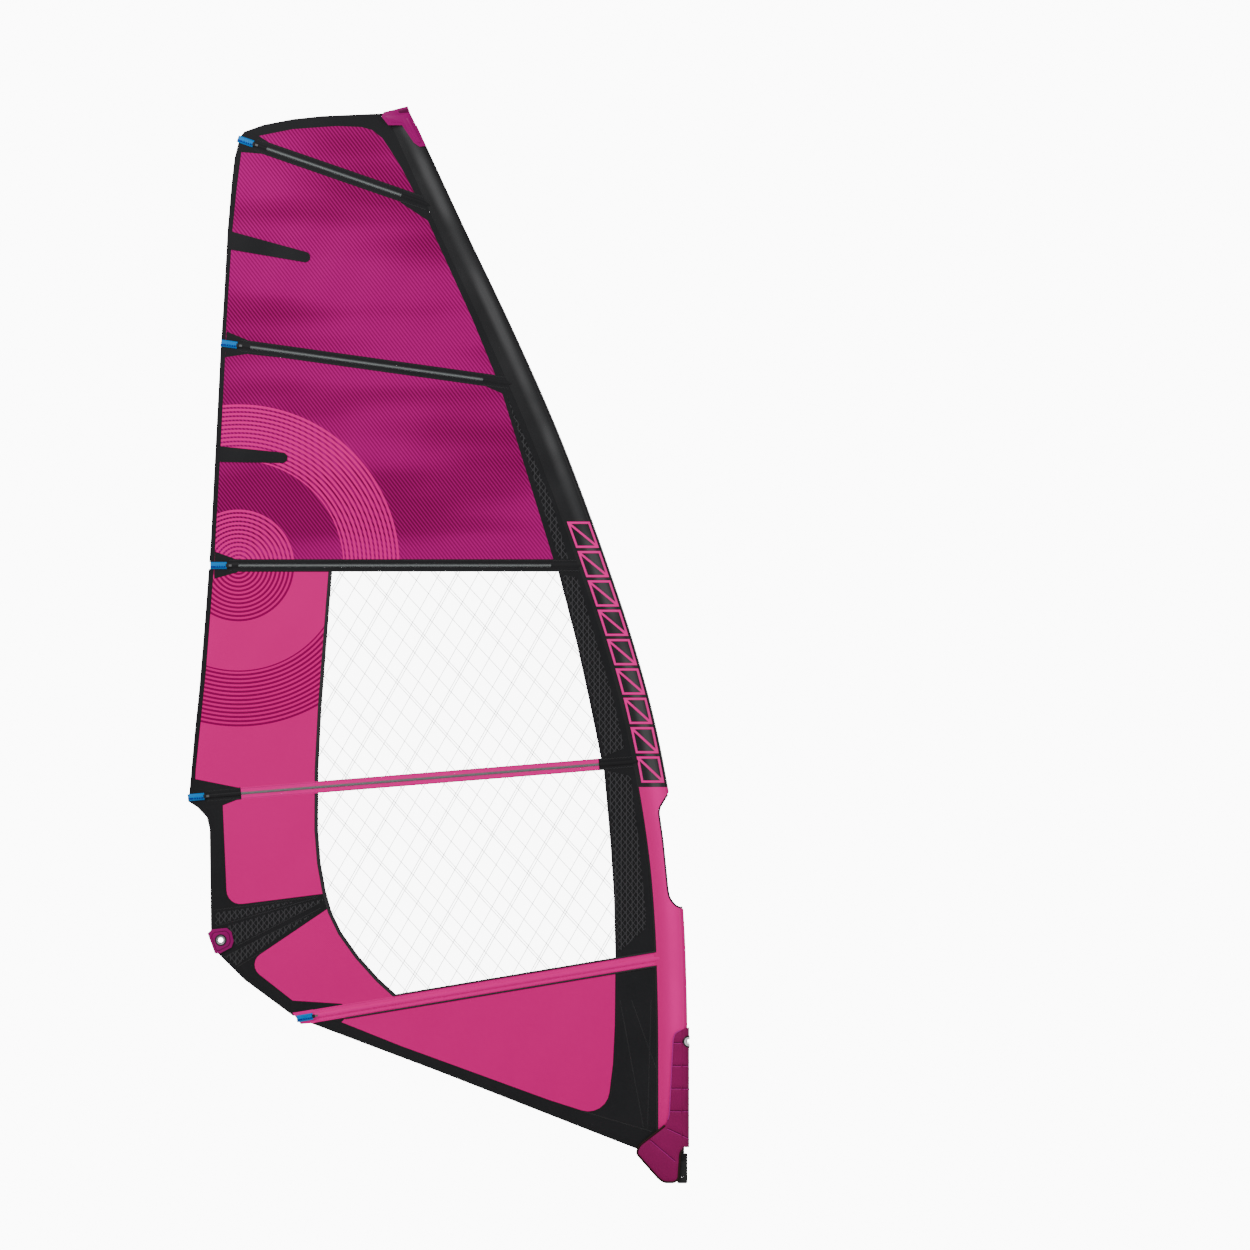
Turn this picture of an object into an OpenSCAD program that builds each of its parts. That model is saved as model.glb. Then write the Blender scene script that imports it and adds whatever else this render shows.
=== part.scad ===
// Windsurf sail with five full battens, built flat and upright.
// +X points to the luff (front), +Z to the head, and the sail cloth lies in the plane y = 0.
// The origin is on the mast axis, level with the bottom of the tack fairing.

/* [Cloth] */
// Thickness of the sail cloth
cloth_t = 1; // [0.6:0.1:1.4]
// Wall of the luff sleeve
sleeve_wall = 1.2; // [0.8:0.1:2]
// Radius of the sleeve's nose at the foot
nose_r = 22; // [20:0.5:23]
// Width of the black tape along the window seam
seam_w = 15; // [10:1:20]

/* [Battens] */
// Radius of the three upper battens
thin_batten_r = 3.5; // [2.5:0.5:4]
// Radius of the two lower battens
thick_batten_r = 5; // [4:0.5:5]
// Radial gap between a batten and its pocket
batten_gap = 0.3; // [0.2:0.05:0.5]
// Width of the upper batten pockets
pocket_w = 48; // [40:1:52]
// Length of a tensioner housing
housing_l = 64; // [64:1:70]
// Width of a tensioner housing
housing_w = 27; // [24:1:28]
// Thickness of a tensioner housing
housing_t = 17; // [16:0.5:20]
// Radius of a tensioner screw's shank
screw_r = 3; // [2.5:0.1:3.5]

/* [Fittings] */
// Radius of the mast tip's socket in the head cap
tip_socket_r = 13.5; // [12:0.5:14]
// Depth of the mast tip's socket
tip_socket_l = 70; // [50:5:80]
// Radius of the hole in the clew ring
clew_hole_r = 9; // [7:0.5:10]
// Thickness of the padded tack fairing
fairing_t = 5.5; // [4:0.5:6]
// Radius of a pulley sheave
sheave_r = 15; // [12:0.5:16]
// Thickness of a pulley sheave
sheave_t = 7; // [6:0.5:7]
// Radius of the pulley axle and of the hanger pin
axle_r = 3; // [2.5:0.25:4]
// Radial running clearance on the axle, the pin and the screws
running_gap = 0.05; // [0.02:0.01:0.09]

/* [Hidden] */
$fn = 48;

black = [0.12, 0.12, 0.13];
pink = [0.92, 0.07, 0.52];
magenta = [0.62, 0.08, 0.40];
plum = [0.50, 0.03, 0.30];
clear = [0.93, 0.95, 0.96];
blue = [0.05, 0.50, 0.80];
steel = [0.75, 0.76, 0.78];
carbon = [0.40, 0.44, 0.43];
acetal = [0.85, 0.85, 0.83];

// Luff stations from foot to head: height, x of the sleeve's front edge, chord of the sleeve.
LUFF = [
    [140, 22, 116], [600, 21, 115], [800, 17, 115], [1000, 9, 114], [1250, -12, 113],
    [1540, -56, 112], [1820, -114, 111], [2100, -192, 110], [2375, -283, 110],
    [2650, -382, 108], [2930, -492, 107], [3300, -657, 105], [3670, -834, 99],
    [4072, -1021, 91]
];
sleeve_top = LUFF[len(LUFF) - 1][0];
middle_start = 1540;
middle_end = 2375;
upper_end = 3224;
foot_joint_x = -300;
// Where the black cloth of a bay is parted, and limits past the sail's edges.
upper_split = -1400;
window_split = -1300;
clew_split = -800;
leech_side = -2000;
luff_side = 0;
above_head = 4300;

// Edge of the head, from the leech to the head cap.
HEAD_EDGE = [
    [-1702, 4028], [-1685, 4048], [-1612, 4074], [-1499, 4096], [-1386, 4108],
    [-1273, 4113], [-1154, 4118], [-1060, 4121]
];
// Leech from the clew up to the head, with the step under batten 4.
LEECH = [
    [-1814, 975], [-1819, 1363], [-1830, 1408], [-1866, 1446], [-1902, 1469],
    [-1897, 1505], [-1877, 1729], [-1858, 1913], [-1835, 2191], [-1815, 2468],
    [-1796, 2837], [-1777, 3207], [-1765, 3392], [-1750, 3669], [-1734, 3854],
    [-1723, 3946], [-1708, 4006]
];
// Foot from the tack to the clew.
FOOT = [
    [-175, 131], [-470, 245], [-659, 320], [-932, 427], [-1428, 614],
    [-1461, 614], [-1484, 633], [-1586, 708], [-1685, 782], [-1783, 879]
];
// Middle line of the window seam, from batten 3 down to batten 5.
SEAM = [
    [-1352, 2380], [-1373, 2125], [-1395, 1826], [-1407, 1590], [-1408, 1359],
    [-1398, 1232], [-1378, 1120], [-1356, 1042], [-1317, 961], [-1252, 870],
    [-1173, 782], [-1090, 706]
];
// Cloth edges beside the luff panels, from the head down: above batten 1, between battens
// 1 and 2, between battens 2 and 3, and beside the windows.
HEAD_LUFF = [
    [-1234, 4065], [-1194, 4054], [-1154, 4023], [-1120, 3972], [-1081, 3910], [-1018, 3788]
];
UPPER_LUFF = [[-1105, 3806], [-1082, 3773], [-979, 3705], [-806, 3323], [-709, 3086]];
MID_LUFF = [[-770, 3094], [-750, 3064], [-692, 3039], [-519, 2476], [-488, 2377]];
WINDOW_LUFF = [
    [-483, 2377], [-426, 2158], [-406, 2079], [-358, 1860], [-313, 1640], [-301, 1588],
    [-277, 1321], [-263, 1114], [-256, 840]
];
// Inner edges of the leech tape, from the head down, for the bays above batten 4.
LEECH_TAPE = [
    [[-1690, 4020], [-1714, 3831], [-1731, 3667], [-1753, 3323], [-1760, 3180]],
    [[-1758, 3200], [-1776, 2840], [-1798, 2437], [-1800, 2377]],
    [[-1800, 2400], [-1832, 1979], [-1872, 1590], [-1876, 1500]]
];
// Head panel's upper edge.
HEAD_PANEL_TOP = [[-1640, 4000], [-1629, 4031], [-1499, 4057], [-1330, 4069]];
// Turns each [x, z, radius] of an open line into points; a radius of 0 keeps the corner sharp.
corner_steps = 6;
function corner_arc(before, corner, after, r) =
    let (
        p = (before - corner) / norm(before - corner),
        q = (after - corner) / norm(after - corner),
        half = acos(p * q) / 2,
        middle = corner + (p + q) / norm(p + q) * r / sin(half),
        start = corner + p * r / tan(half) - middle,
        end = corner + q * r / tan(half) - middle,
        sweep = 180 - 2 * half
    )
    [for (k = [0 : corner_steps])
        let (s = sweep * k / corner_steps)
        middle + (start * sin(sweep - s) + end * sin(s)) / sin(sweep)];
function flat_point(p) = [p[0], p[1]];
function rounded(line) = [
    for (i = [0 : len(line) - 1])
        each line[i][2] == 0 ? [flat_point(line[i])] : corner_arc(
            flat_point(line[i - 1]), flat_point(line[i]), flat_point(line[i + 1]), line[i][2]
        )
];
// Pink leech panel under batten 4, and the pink clew panel, each without its seam side.
LOWER_LEECH = rounded([[-1384, 1113, 0], [-1751, 1067, 53], [-1770, 1500, 0]]);
CLEW_PANEL = rounded([
    [-1364, 1056, 0], [-1679, 843, 48], [-1499, 702, 0], [-1312, 690, 0], [-1230, 650, 0],
    [-1060, 680, 0]
]);
FOOT_PANEL = rounded([
    [-1311, 619, 0], [-1270, 661, 0], [-256, 860, 0], [-257, 805, 0], [-259, 606, 0],
    [-266, 459, 0], [-278, 361, 0], [-292, 249, 82], [-513, 320, 0], [-932, 473, 0],
    [-1086, 529, 0]
]);

// Battens from head to foot: leech end of the housing x and z, slope, radius, pocket width.
BATTENS = [
    [-1711, 4021, -19.1, thin_batten_r, pocket_w + 2],
    [-1776, 3234, -7.95, thin_batten_r, pocket_w],
    [-1817, 2377, 0, thin_batten_r, pocket_w],
    [-1903, 1483, 4.63, thick_batten_r, pocket_w - 2],
    [-1484, 631, 9.5, thick_batten_r, pocket_w + 2]
];
pocket_skin = 1.6;
pocket_flat = 0.6;
pocket_shoulder = 6;
pocket_fall = 0.7;
pocket_over = 30;
pocket_cut_t = 60;
batten_end_room = 20;
bore_end_room = 10;
cup_r = 6.2;
cup_start = 35;
cup_l = 22;
cup_thread_l = 14.5;
cup_socket_l = 6;
screw_head_r = 5.2;
screw_head_l = 7;
screw_recess = 3;
screw_end = 44;
hex_r = 2.9;

// Mini battens: leech end x and z, slope, length, width at the leech, width at the tip.
MINI_BATTENS = [
    [-1741, 3629, -12.5, 316, 73, 40],
    [-1797, 2807, -3.3, 278, 65, 40]
];
mini_pocket_t = 6;
mini_batten_w = 20;
mini_batten_t = 2.4;
mini_batten_start = 12;
mini_batten_room = 36;

// Tack fairing from the side, and the gap between it and the sleeve.
FAIRING = [
    [40, 599], [23, 599], [-25, 579], [-34, 553], [-49, 256], [-65, 221], [-162, 146],
    [-173, 124], [-173, 111], [-91, 18], [-69, 2], [-29, 2], [-14, 15], [-7, 115],
    [6, 137], [40, 137]
];
fairing_gap = 0.5;
fairing_top = 620;
// Longer than the fairing is from nose to tail.
side_l = 300;
fairing_tail_x = -180;
fairing_r = nose_r + fairing_gap;
hinge_x = -1;
hinge_gap = 1;
eyelet_x = 27;
eyelet_z = 544;
eyelet_r = 23;
eyelet_hole_r = 9;
eyelet_t = 2;

// Boom cut-out in the sleeve, from the side.
BOOM_CUT = [
    [60, 1505], [-50, 1505], [-91, 1437], [-74, 1321], [-54, 1123], [-47, 1094],
    [-23, 1066], [3, 1057], [60, 1057]
];

// Pulley block that hangs in the sleeve's mouth.
block_x = 1;
block_w = 40;
block_top = 115;
block_shoulder = 85;
block_bottom = -2;
block_half_t = 17;
neck_half_t = 13;
block_corner_r = 7;
pin_z = 100;
pin_head_r = 5;
pin_head_l = 2;
axle_z = 22;
sheave_pitch = 9.5;
sheave_gap = 0.3;
sheave_edge = 1;
slot_gap = 1.5;
groove_depth = 2.5;
strap_y = 14;
strap_t = 3;
strap_w = 16;
strap_top = 300;

CLEW_PATCH = [
    [-1827, 961], [-1811, 976], [-1752, 982], [-1734, 966], [-1726, 930], [-1734, 907],
    [-1783, 881], [-1799, 884]
];
clew_x = -1776;
clew_z = 935;
clew_patch_t = 12;
clew_ring_r = 18.5;
clew_barrel_r = 12;
clew_flange_t = 2;

HEAD_CAP = [
    [-1056, 4146], [-1047, 4120], [-990, 4005], [-986, 3992], [-1010, 3989], [-1033, 4005],
    [-1078, 4072], [-1131, 4072], [-1157, 4105], [-1149, 4123], [-1103, 4134]
];
cap_t = 46;
// The mast tip's axis in the head: a point on it, its lean, and the socket's blind end above it.
tip_x = -1034;
tip_z = 4055;
tip_lean = 24.5;
socket_top = 40;
socket_relief_r = 15;

FOOT_RINGS = [140, 370, 600, 700, 800, 900, 1000, 1125, 1250, 1395, 1540];
MIDDLE_RINGS = [for (i = [0 : 6]) middle_start + i * (middle_end - middle_start) / 6];
UPPER_RINGS = [for (i = [0 : 6]) middle_end + i * (upper_end - middle_end) / 6];
HEAD_RINGS = [for (i = [0 : 6]) upper_end + i * (sleeve_top - upper_end) / 6];

// ---- Luff curve: a smooth curve through the stations ----

function segment_of(z, i = 0) =
    (i >= len(LUFF) - 2 || z < LUFF[i + 1][0]) ? i : segment_of(z, i + 1);
function station(i) = LUFF[max(0, min(len(LUFF) - 1, i))];
function station_slope(i, k) =
    (station(i + 1)[k] - station(i - 1)[k]) / (station(i + 1)[0] - station(i - 1)[0]);
function luff_value(z, k) =
    let (i = segment_of(z), a = station(i), b = station(i + 1), h = b[0] - a[0])
    let (t = (z - a[0]) / h, t2 = t * t, t3 = t2 * t)
    a[k] * (2 * t3 - 3 * t2 + 1) + station_slope(i, k) * h * (t3 - 2 * t2 + t)
    + b[k] * (3 * t2 - 2 * t3) + station_slope(i + 1, k) * h * (t3 - t2);
function front_x(z) = luff_value(z, 1);
function chord(z) = luff_value(z, 2);
function seam_x(z) = front_x(z) - chord(z);
function reversed(list) = [for (i = [len(list) - 1 : -1 : 0]) list[i]];

// ---- Outline of the cloth and its bays ----

OUTLINE = concat(
    [for (z = FOOT_RINGS) [seam_x(z), z]],
    [for (i = [1 : 6]) [seam_x(MIDDLE_RINGS[i]), MIDDLE_RINGS[i]]],
    [for (i = [1 : 6]) [seam_x(UPPER_RINGS[i]), UPPER_RINGS[i]]],
    [for (i = [1 : 6]) [seam_x(HEAD_RINGS[i]), HEAD_RINGS[i]]],
    reversed(HEAD_EDGE), reversed(LEECH), reversed(FOOT)
);

function axis_z(i, x) = BATTENS[i][1] + (x - BATTENS[i][0]) * tan(BATTENS[i][2]);
function luff_end_x(i, n = 8) =
    seam_x(n == 0 ? BATTENS[i][1] : axis_z(i, luff_end_x(i, n - 1)));
function axis_length(i) = (luff_end_x(i) - BATTENS[i][0]) / cos(BATTENS[i][2]);

// Stands a flat shape up in the sail's plane.
module upright(t = cloth_t) {
    rotate([90, 0, 0]) linear_extrude(height = t, center = true) children();
}

// Moves children from the x axis to a batten's axis.
module on_axis(i) {
    translate([BATTENS[i][0], 0, BATTENS[i][1]]) rotate([0, -BATTENS[i][2], 0]) children();
}

// The stretch of cloth that a batten's housing and pocket take up.
module batten_strip(i) {
    w = BATTENS[i][4];
    translate([BATTENS[i][0], BATTENS[i][1]]) rotate(BATTENS[i][2]) {
        translate([-60, -housing_w / 2]) square([60 + housing_l, housing_w]);
        translate([housing_l, -w / 2]) square([axis_length(i) + 40, w]);
    }
}

// Bay k lies between batten k - 1 and batten k, counted from the head.
module bay(k) {
    low = [for (x = [-2100, 200]) k == 6 ? 0 : axis_z(k - 1, x)];
    high = [for (x = [-2100, 200]) k == 1 ? 4300 : axis_z(k - 2, x)];
    polygon([[-2100, low[0]], [200, low[1]], [200, high[1]], [-2100, high[0]]]);
}

module mini_pocket_shape(m) {
    tip_r = m[5] / 2;
    translate([m[0], m[1]]) rotate(m[2]) {
        translate([m[3] - tip_r, 0]) circle(r = tip_r);
        polygon([
            [-40, m[4] / 2], [m[3] - tip_r, tip_r], [m[3] - tip_r, -tip_r], [-40, -m[4] / 2]
        ]);
    }
}

// All the cloth of bay k, without what sits in it.
module bay_cloth(k) {
    difference() {
        intersection() {
            polygon(OUTLINE);
            bay(k);
        }
        for (i = [max(0, k - 2) : min(4, k - 1)]) batten_strip(i);
        if (k == 1) polygon(HEAD_CAP);
        if (k == 2 || k == 3) mini_pocket_shape(MINI_BATTENS[k - 2]);
        if (k == 5) polygon(CLEW_PATCH);
    }
}

// One coloured panel, cut out of bay k.
module panel(k, points) {
    upright() intersection() {
        bay_cloth(k);
        difference() {
            polygon(points);
            if (k > 3) seam_shape();
        }
    }
}

// What is left of bay k between x0 and x1, when its coloured panels are taken out.
module remainder(k, x0, x1, panels) {
    upright() intersection() {
        difference() {
            bay_cloth(k);
            for (points = panels) polygon(points);
            if (k == 4 || k == 5) seam_shape();
        }
        translate([x0, 0]) square([x1 - x0, above_head]);
    }
}

HEAD_SHAPE = concat(HEAD_PANEL_TOP, HEAD_LUFF);
UPPER_SHAPE = concat(reversed(LEECH_TAPE[0]), UPPER_LUFF);
MID_SHAPE = concat(reversed(LEECH_TAPE[1]), MID_LUFF);
WINDOW_SHAPE = concat(SEAM, reversed(WINDOW_LUFF));
UPPER_LEECH_SHAPE = concat(LEECH_TAPE[2], [for (i = [4 : -1 : 0]) SEAM[i]]);
LOWER_LEECH_SHAPE = concat(LOWER_LEECH, [for (i = [3 : 6]) SEAM[i]]);
CLEW_SHAPE = concat(CLEW_PANEL, [for (i = [len(SEAM) - 1 : -1 : 7]) SEAM[i]]);

// Band of the window seam, half its width to each side of its middle line.
function seam_normal(i) =
    let (a = SEAM[max(0, i - 1)], b = SEAM[min(len(SEAM) - 1, i + 1)], d = b - a)
    [-d[1], d[0]] / norm(d);
module seam_shape() {
    last = len(SEAM) - 1;
    polygon(concat(
        [for (i = [0 : last]) SEAM[i] + seam_normal(i) * seam_w / 2],
        [for (i = [last : -1 : 0]) SEAM[i] - seam_normal(i) * seam_w / 2]
    ));
}

// ---- Coloured panels and windows ----

module head_panel() { color(magenta) panel(1, HEAD_SHAPE); }
module upper_panel() { color(magenta) panel(2, UPPER_SHAPE); }
module mid_panel() { color(magenta) panel(3, MID_SHAPE); }
module upper_window() { color(clear) panel(4, WINDOW_SHAPE); }
module lower_window() { color(clear) panel(5, WINDOW_SHAPE); }
module upper_leech_panel() { color(pink) panel(4, UPPER_LEECH_SHAPE); }
module lower_leech_panel() { color(pink) panel(5, LOWER_LEECH_SHAPE); }
module clew_panel() { color(pink) panel(5, CLEW_SHAPE); }
module foot_panel() { color(pink) panel(6, FOOT_PANEL); }

// ---- Black panels, bands and tapes ----

module head_band() { color(black) remainder(1, leech_side, luff_side, [HEAD_SHAPE]); }
module leech_band_upper() { color(black) remainder(2, leech_side, upper_split, [UPPER_SHAPE]); }
module luff_panel_upper() { color(black) remainder(2, upper_split, luff_side, [UPPER_SHAPE]); }
module leech_band_mid() { color(black) remainder(3, leech_side, upper_split, [MID_SHAPE]); }
module luff_panel_mid() { color(black) remainder(3, upper_split, luff_side, [MID_SHAPE]); }
module leech_band_lower() {
    color(black) remainder(4, leech_side, window_split, [WINDOW_SHAPE, UPPER_LEECH_SHAPE]);
}
module luff_panel_window() {
    color(black) remainder(4, window_split, luff_side, [WINDOW_SHAPE, UPPER_LEECH_SHAPE]);
}
module clew_reinforcement() {
    color(black)
        remainder(5, leech_side, clew_split, [WINDOW_SHAPE, LOWER_LEECH_SHAPE, CLEW_SHAPE]);
}
module luff_panel_boom() { color(black) remainder(5, clew_split, luff_side, [WINDOW_SHAPE]); }
module foot_band() { color(black) remainder(6, leech_side, foot_joint_x, [FOOT_PANEL]); }
module tack_panel() { color(black) remainder(6, foot_joint_x, luff_side, [FOOT_PANEL]); }
module window_seam() {
    color(black) for (k = [4, 5]) upright() intersection() {
        bay_cloth(k);
        seam_shape();
    }
}

// ---- Luff sleeve ----

// Half of the sleeve's level section: distance behind the front edge, and half thickness.
// The nose is an arc, and a straight side runs back to the seam.
nose_end = 102;
nose_step = 17;
function half_section(z, inset, tail, tail_half) =
    let (r = nose_r - (LUFF[0][2] - chord(z)) / 5, side = r - inset)
    let (a = [r - side * cos(nose_end), side * sin(nose_end)], b = [chord(z) - tail, tail_half])
    concat(
        [for (t = [0 : nose_step : nose_end]) [r - side * cos(t), side * sin(t)]],
        [for (f = [0.35, 0.7, 1]) a + (b - a) * f]
    );
function section(z, inset, tail, tail_half) =
    let (half = half_section(z, inset, tail, tail_half), n = len(half))
    concat(
        [for (p = half) [front_x(z) - p[0], p[1], z]],
        [for (i = [n - 1 : -1 : 1]) [front_x(z) - half[i][0], -half[i][1], z]]
    );

seam_half = 1.6;
channel_end = 16;
channel_half = 0.5;

module sleeve_tube(rings) {
    rows = [for (z = rings) concat(
        section(z, 0, 0, seam_half), section(z, sleeve_wall, channel_end, channel_half)
    )];
    m = len(rows);
    n = len(rows[0]) / 2;
    sides = [for (k = [0 : m - 2], i = [0 : n - 1])
        let (j = (i + 1) % n, a = k * 2 * n, b = a + 2 * n)
        each [
            [a + i, b + i, b + j, a + j],
            [a + n + i, a + n + j, b + n + j, b + n + i]
        ]
    ];
    top = (m - 1) * 2 * n;
    ends = [for (i = [0 : n - 1])
        let (j = (i + 1) % n)
        each [[i, j, n + j, n + i], [top + i, top + n + i, top + n + j, top + j]]
    ];
    polyhedron(points = [for (row = rows) each row], faces = concat(sides, ends));
}

module sleeve_head() {
    color(black) difference() {
        sleeve_tube(HEAD_RINGS);
        upright(3 * cap_t) polygon(HEAD_CAP);
    }
}
module sleeve_upper() { color(black) sleeve_tube(UPPER_RINGS); }
module sleeve_middle() { color(black) sleeve_tube(MIDDLE_RINGS); }
module sleeve_foot() {
    color(pink) difference() {
        sleeve_tube(FOOT_RINGS);
        upright(6 * nose_r) polygon(BOOM_CUT);
    }
}

// ---- Battens, pockets and tensioners ----

// A pocket from the end: a round channel between two flat margins.
function pocket_section(r, w) =
    let (quarter = [
        [pocket_flat * r, r + pocket_skin], [r + pocket_shoulder, pocket_fall * r],
        [w / 2, cloth_t / 2]
    ])
    concat(
        quarter,
        [for (p = reversed(quarter)) [p[0], -p[1]]],
        [for (p = quarter) [-p[0], -p[1]]],
        [for (p = reversed(quarter)) [-p[0], p[1]]]
    );

// Runs a section, given as [across, thickness], along the x axis.
module along_x(x0, x1) {
    translate([x0, 0, 0]) rotate([90, 0, 90]) rotate(90)
        linear_extrude(height = x1 - x0) children();
}

module rod_x(r, x0, x1) {
    translate([x0, 0, 0]) rotate([0, 90, 0]) cylinder(r = r, h = x1 - x0);
}

module batten_pocket(i) {
    r = BATTENS[i][3];
    color(black) difference() {
        intersection() {
            on_axis(i) along_x(housing_l, axis_length(i) + pocket_over)
                polygon(pocket_section(r, BATTENS[i][4]));
            upright(pocket_cut_t) polygon(OUTLINE);
        }
        on_axis(i) rod_x(r + batten_gap, housing_l - 1, axis_length(i) - bore_end_room);
    }
}

// The rod, and the cup that the tensioner's screw pushes.
module batten(i) {
    r = BATTENS[i][3];
    cup_end = cup_start + cup_l;
    color(carbon) on_axis(i) {
        rod_x(r, cup_end - cup_socket_l, axis_length(i) - batten_end_room);
        difference() {
            rod_x(cup_r, cup_start, cup_end);
            rod_x(screw_r + batten_gap, cup_start - 1, cup_start + cup_thread_l);
            rod_x(r + running_gap, cup_end - cup_socket_l, cup_end + 1);
        }
    }
}

housing_bevel = 5;
module housing_section() {
    h = housing_w / 2;
    t = housing_t / 2;
    b = housing_bevel;
    polygon([
        [h, t - b], [h - b, t], [b - h, t], [-h, t - b],
        [-h, b - t], [b - h, -t], [h - b, -t], [h, b - t]
    ]);
}

module tensioner_housing(i) {
    head_end = screw_recess + screw_head_l + batten_gap;
    color(blue) on_axis(i) difference() {
        along_x(0, housing_l) housing_section();
        rod_x(screw_head_r + batten_gap, -1, head_end);
        rod_x(screw_r + running_gap, head_end - 1, cup_start);
        rod_x(cup_r + batten_gap, cup_start - 2 * screw_r, housing_l + 1);
    }
}

module tensioner_screw(i) {
    color(steel) on_axis(i) difference() {
        union() {
            rod_x(screw_head_r, screw_recess, screw_recess + screw_head_l);
            rod_x(screw_r, screw_recess + screw_head_l - 1, screw_end);
        }
        translate([screw_recess - 1, 0, 0]) rotate([0, 90, 0])
            cylinder(r = hex_r, h = screw_head_l - 1, $fn = 6);
    }
}

module on_mini_axis(m) {
    translate([m[0], 0, m[1]]) rotate([0, -m[2], 0]) children();
}

mini_slot_w = mini_batten_w + 1;
mini_slot_t = mini_batten_t + 0.8;
module mini_batten_pockets() {
    color(black) for (m = MINI_BATTENS) difference() {
        upright(mini_pocket_t) intersection() {
            mini_pocket_shape(m);
            polygon(OUTLINE);
        }
        on_mini_axis(m) translate([-60, -mini_slot_t / 2, -mini_slot_w / 2])
            cube([m[3] + 40, mini_slot_t, mini_slot_w]);
    }
}

module mini_battens() {
    color(carbon) for (m = MINI_BATTENS)
        on_mini_axis(m)
            translate([mini_batten_start, -mini_batten_t / 2, -mini_batten_w / 2])
                cube([m[3] - mini_batten_room, mini_batten_t, mini_batten_w]);
}

// ---- Head cap and clew ----

module head_cap() {
    socket_bottom = socket_top - tip_socket_l;
    color(plum) difference() {
        upright(cap_t) polygon(HEAD_CAP);
        translate([tip_x, 0, tip_z]) rotate([0, -tip_lean, 0]) {
            translate([0, 0, socket_bottom]) cylinder(r = tip_socket_r, h = tip_socket_l);
            translate([0, 0, socket_bottom - 80]) cylinder(r = socket_relief_r, h = 80);
        }
    }
}

module clew_patch() {
    color(plum) difference() {
        upright(clew_patch_t) polygon(CLEW_PATCH);
        translate([clew_x, 0, clew_z]) rotate([90, 0, 0])
            cylinder(r = clew_barrel_r, h = 2 * clew_patch_t, center = true);
    }
}

module clew_ring() {
    face = clew_patch_t / 2;
    top = face + clew_flange_t;
    color(steel) translate([clew_x, 0, clew_z]) rotate([90, 0, 0]) rotate_extrude()
        polygon([
            [clew_hole_r, -top], [clew_ring_r, -top], [clew_ring_r, -face],
            [clew_barrel_r, -face], [clew_barrel_r, face], [clew_ring_r, face],
            [clew_ring_r, top], [clew_hole_r, top]
        ]);
}

// ---- Tack fairing ----

// The fairing from above: an arc round the nose, and straight sides to the tail.
module fairing_plan(grow, tail_half) {
    r = fairing_r + grow;
    circle(r = r);
    polygon([
        [r * cos(nose_end), r * sin(nose_end)], [fairing_tail_x, tail_half],
        [fairing_tail_x, -tail_half], [r * cos(nose_end), -r * sin(nose_end)], [0, 0]
    ]);
}

module fairing_shell() {
    difference() {
        linear_extrude(height = fairing_top) difference() {
            fairing_plan(fairing_t, fairing_t + seam_half);
            fairing_plan(0, seam_half);
        }
        translate([eyelet_x, 0, eyelet_z]) rotate([90, 0, 0])
            cylinder(r = eyelet_hole_r, h = side_l, center = true);
    }
}

module fairing_part() {
    intersection() {
        fairing_shell();
        upright(side_l) polygon(FAIRING);
        children();
    }
}

module fairing_port() {
    color(plum) fairing_part() union() {
        translate([-side_l, 0, 0]) cube([2 * side_l, side_l, fairing_top]);
        translate([hinge_x + hinge_gap, -side_l, 0]) cube([side_l, side_l + 1, fairing_top]);
    }
}

module fairing_starboard() {
    color(plum) fairing_part()
        translate([-side_l, -side_l, 0]) cube([side_l + hinge_x - hinge_gap, side_l - 1, fairing_top]);
}

module tack_eyelet() {
    r = fairing_r + fairing_t;
    color(steel) intersection() {
        difference() {
            cylinder(r = r + eyelet_t, h = fairing_top);
            cylinder(r = r, h = fairing_top);
        }
        translate([eyelet_x, 0, eyelet_z]) rotate([90, 0, 0]) difference() {
            cylinder(r = eyelet_r, h = side_l, center = true);
            cylinder(r = eyelet_hole_r, h = side_l, center = true);
        }
    }
}

// ---- Tack pulley block ----

// A cylinder across the block, from y0 to y1.
module rod_y(r, y0, y1) {
    translate([0, y1, 0]) rotate([90, 0, 0]) cylinder(r = r, h = y1 - y0);
}

module rounded_plate(x0, x1, z0, z1, half_t) {
    r = block_corner_r;
    upright(2 * half_t) {
        translate([x0 + r, z0]) square([x1 - x0 - 2 * r, z1 - z0]);
        translate([x0, z0 + r]) square([x1 - x0, z1 - z0 - 2 * r]);
        for (x = [x0 + r, x1 - r], z = [z0 + r, z1 - r]) translate([x, z]) circle(r = r);
    }
}

module block_body() {
    x0 = block_x - block_w / 2;
    x1 = block_x + block_w / 2;
    slot_r = sheave_r + slot_gap;
    slot_t = sheave_t + 2 * sheave_gap;
    color(black) difference() {
        union() {
            rounded_plate(x0, x1, block_bottom, block_top, neck_half_t);
            rounded_plate(x0, x1, block_bottom, block_shoulder, block_half_t);
        }
        for (k = [-1 : 1]) translate([block_x, k * sheave_pitch, axle_z]) {
            translate([-slot_r, -slot_t / 2, -60]) cube([2 * slot_r, slot_t, 60]);
            rod_y(slot_r, -slot_t / 2, slot_t / 2);
        }
        translate([block_x, 0, axle_z]) rod_y(axle_r + running_gap, -50, 50);
        translate([block_x, 0, pin_z]) rod_y(axle_r + running_gap, -50, 50);
    }
}

module block_axle() {
    color(steel) translate([block_x, 0, axle_z]) rod_y(axle_r, -block_half_t, block_half_t);
}

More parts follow.
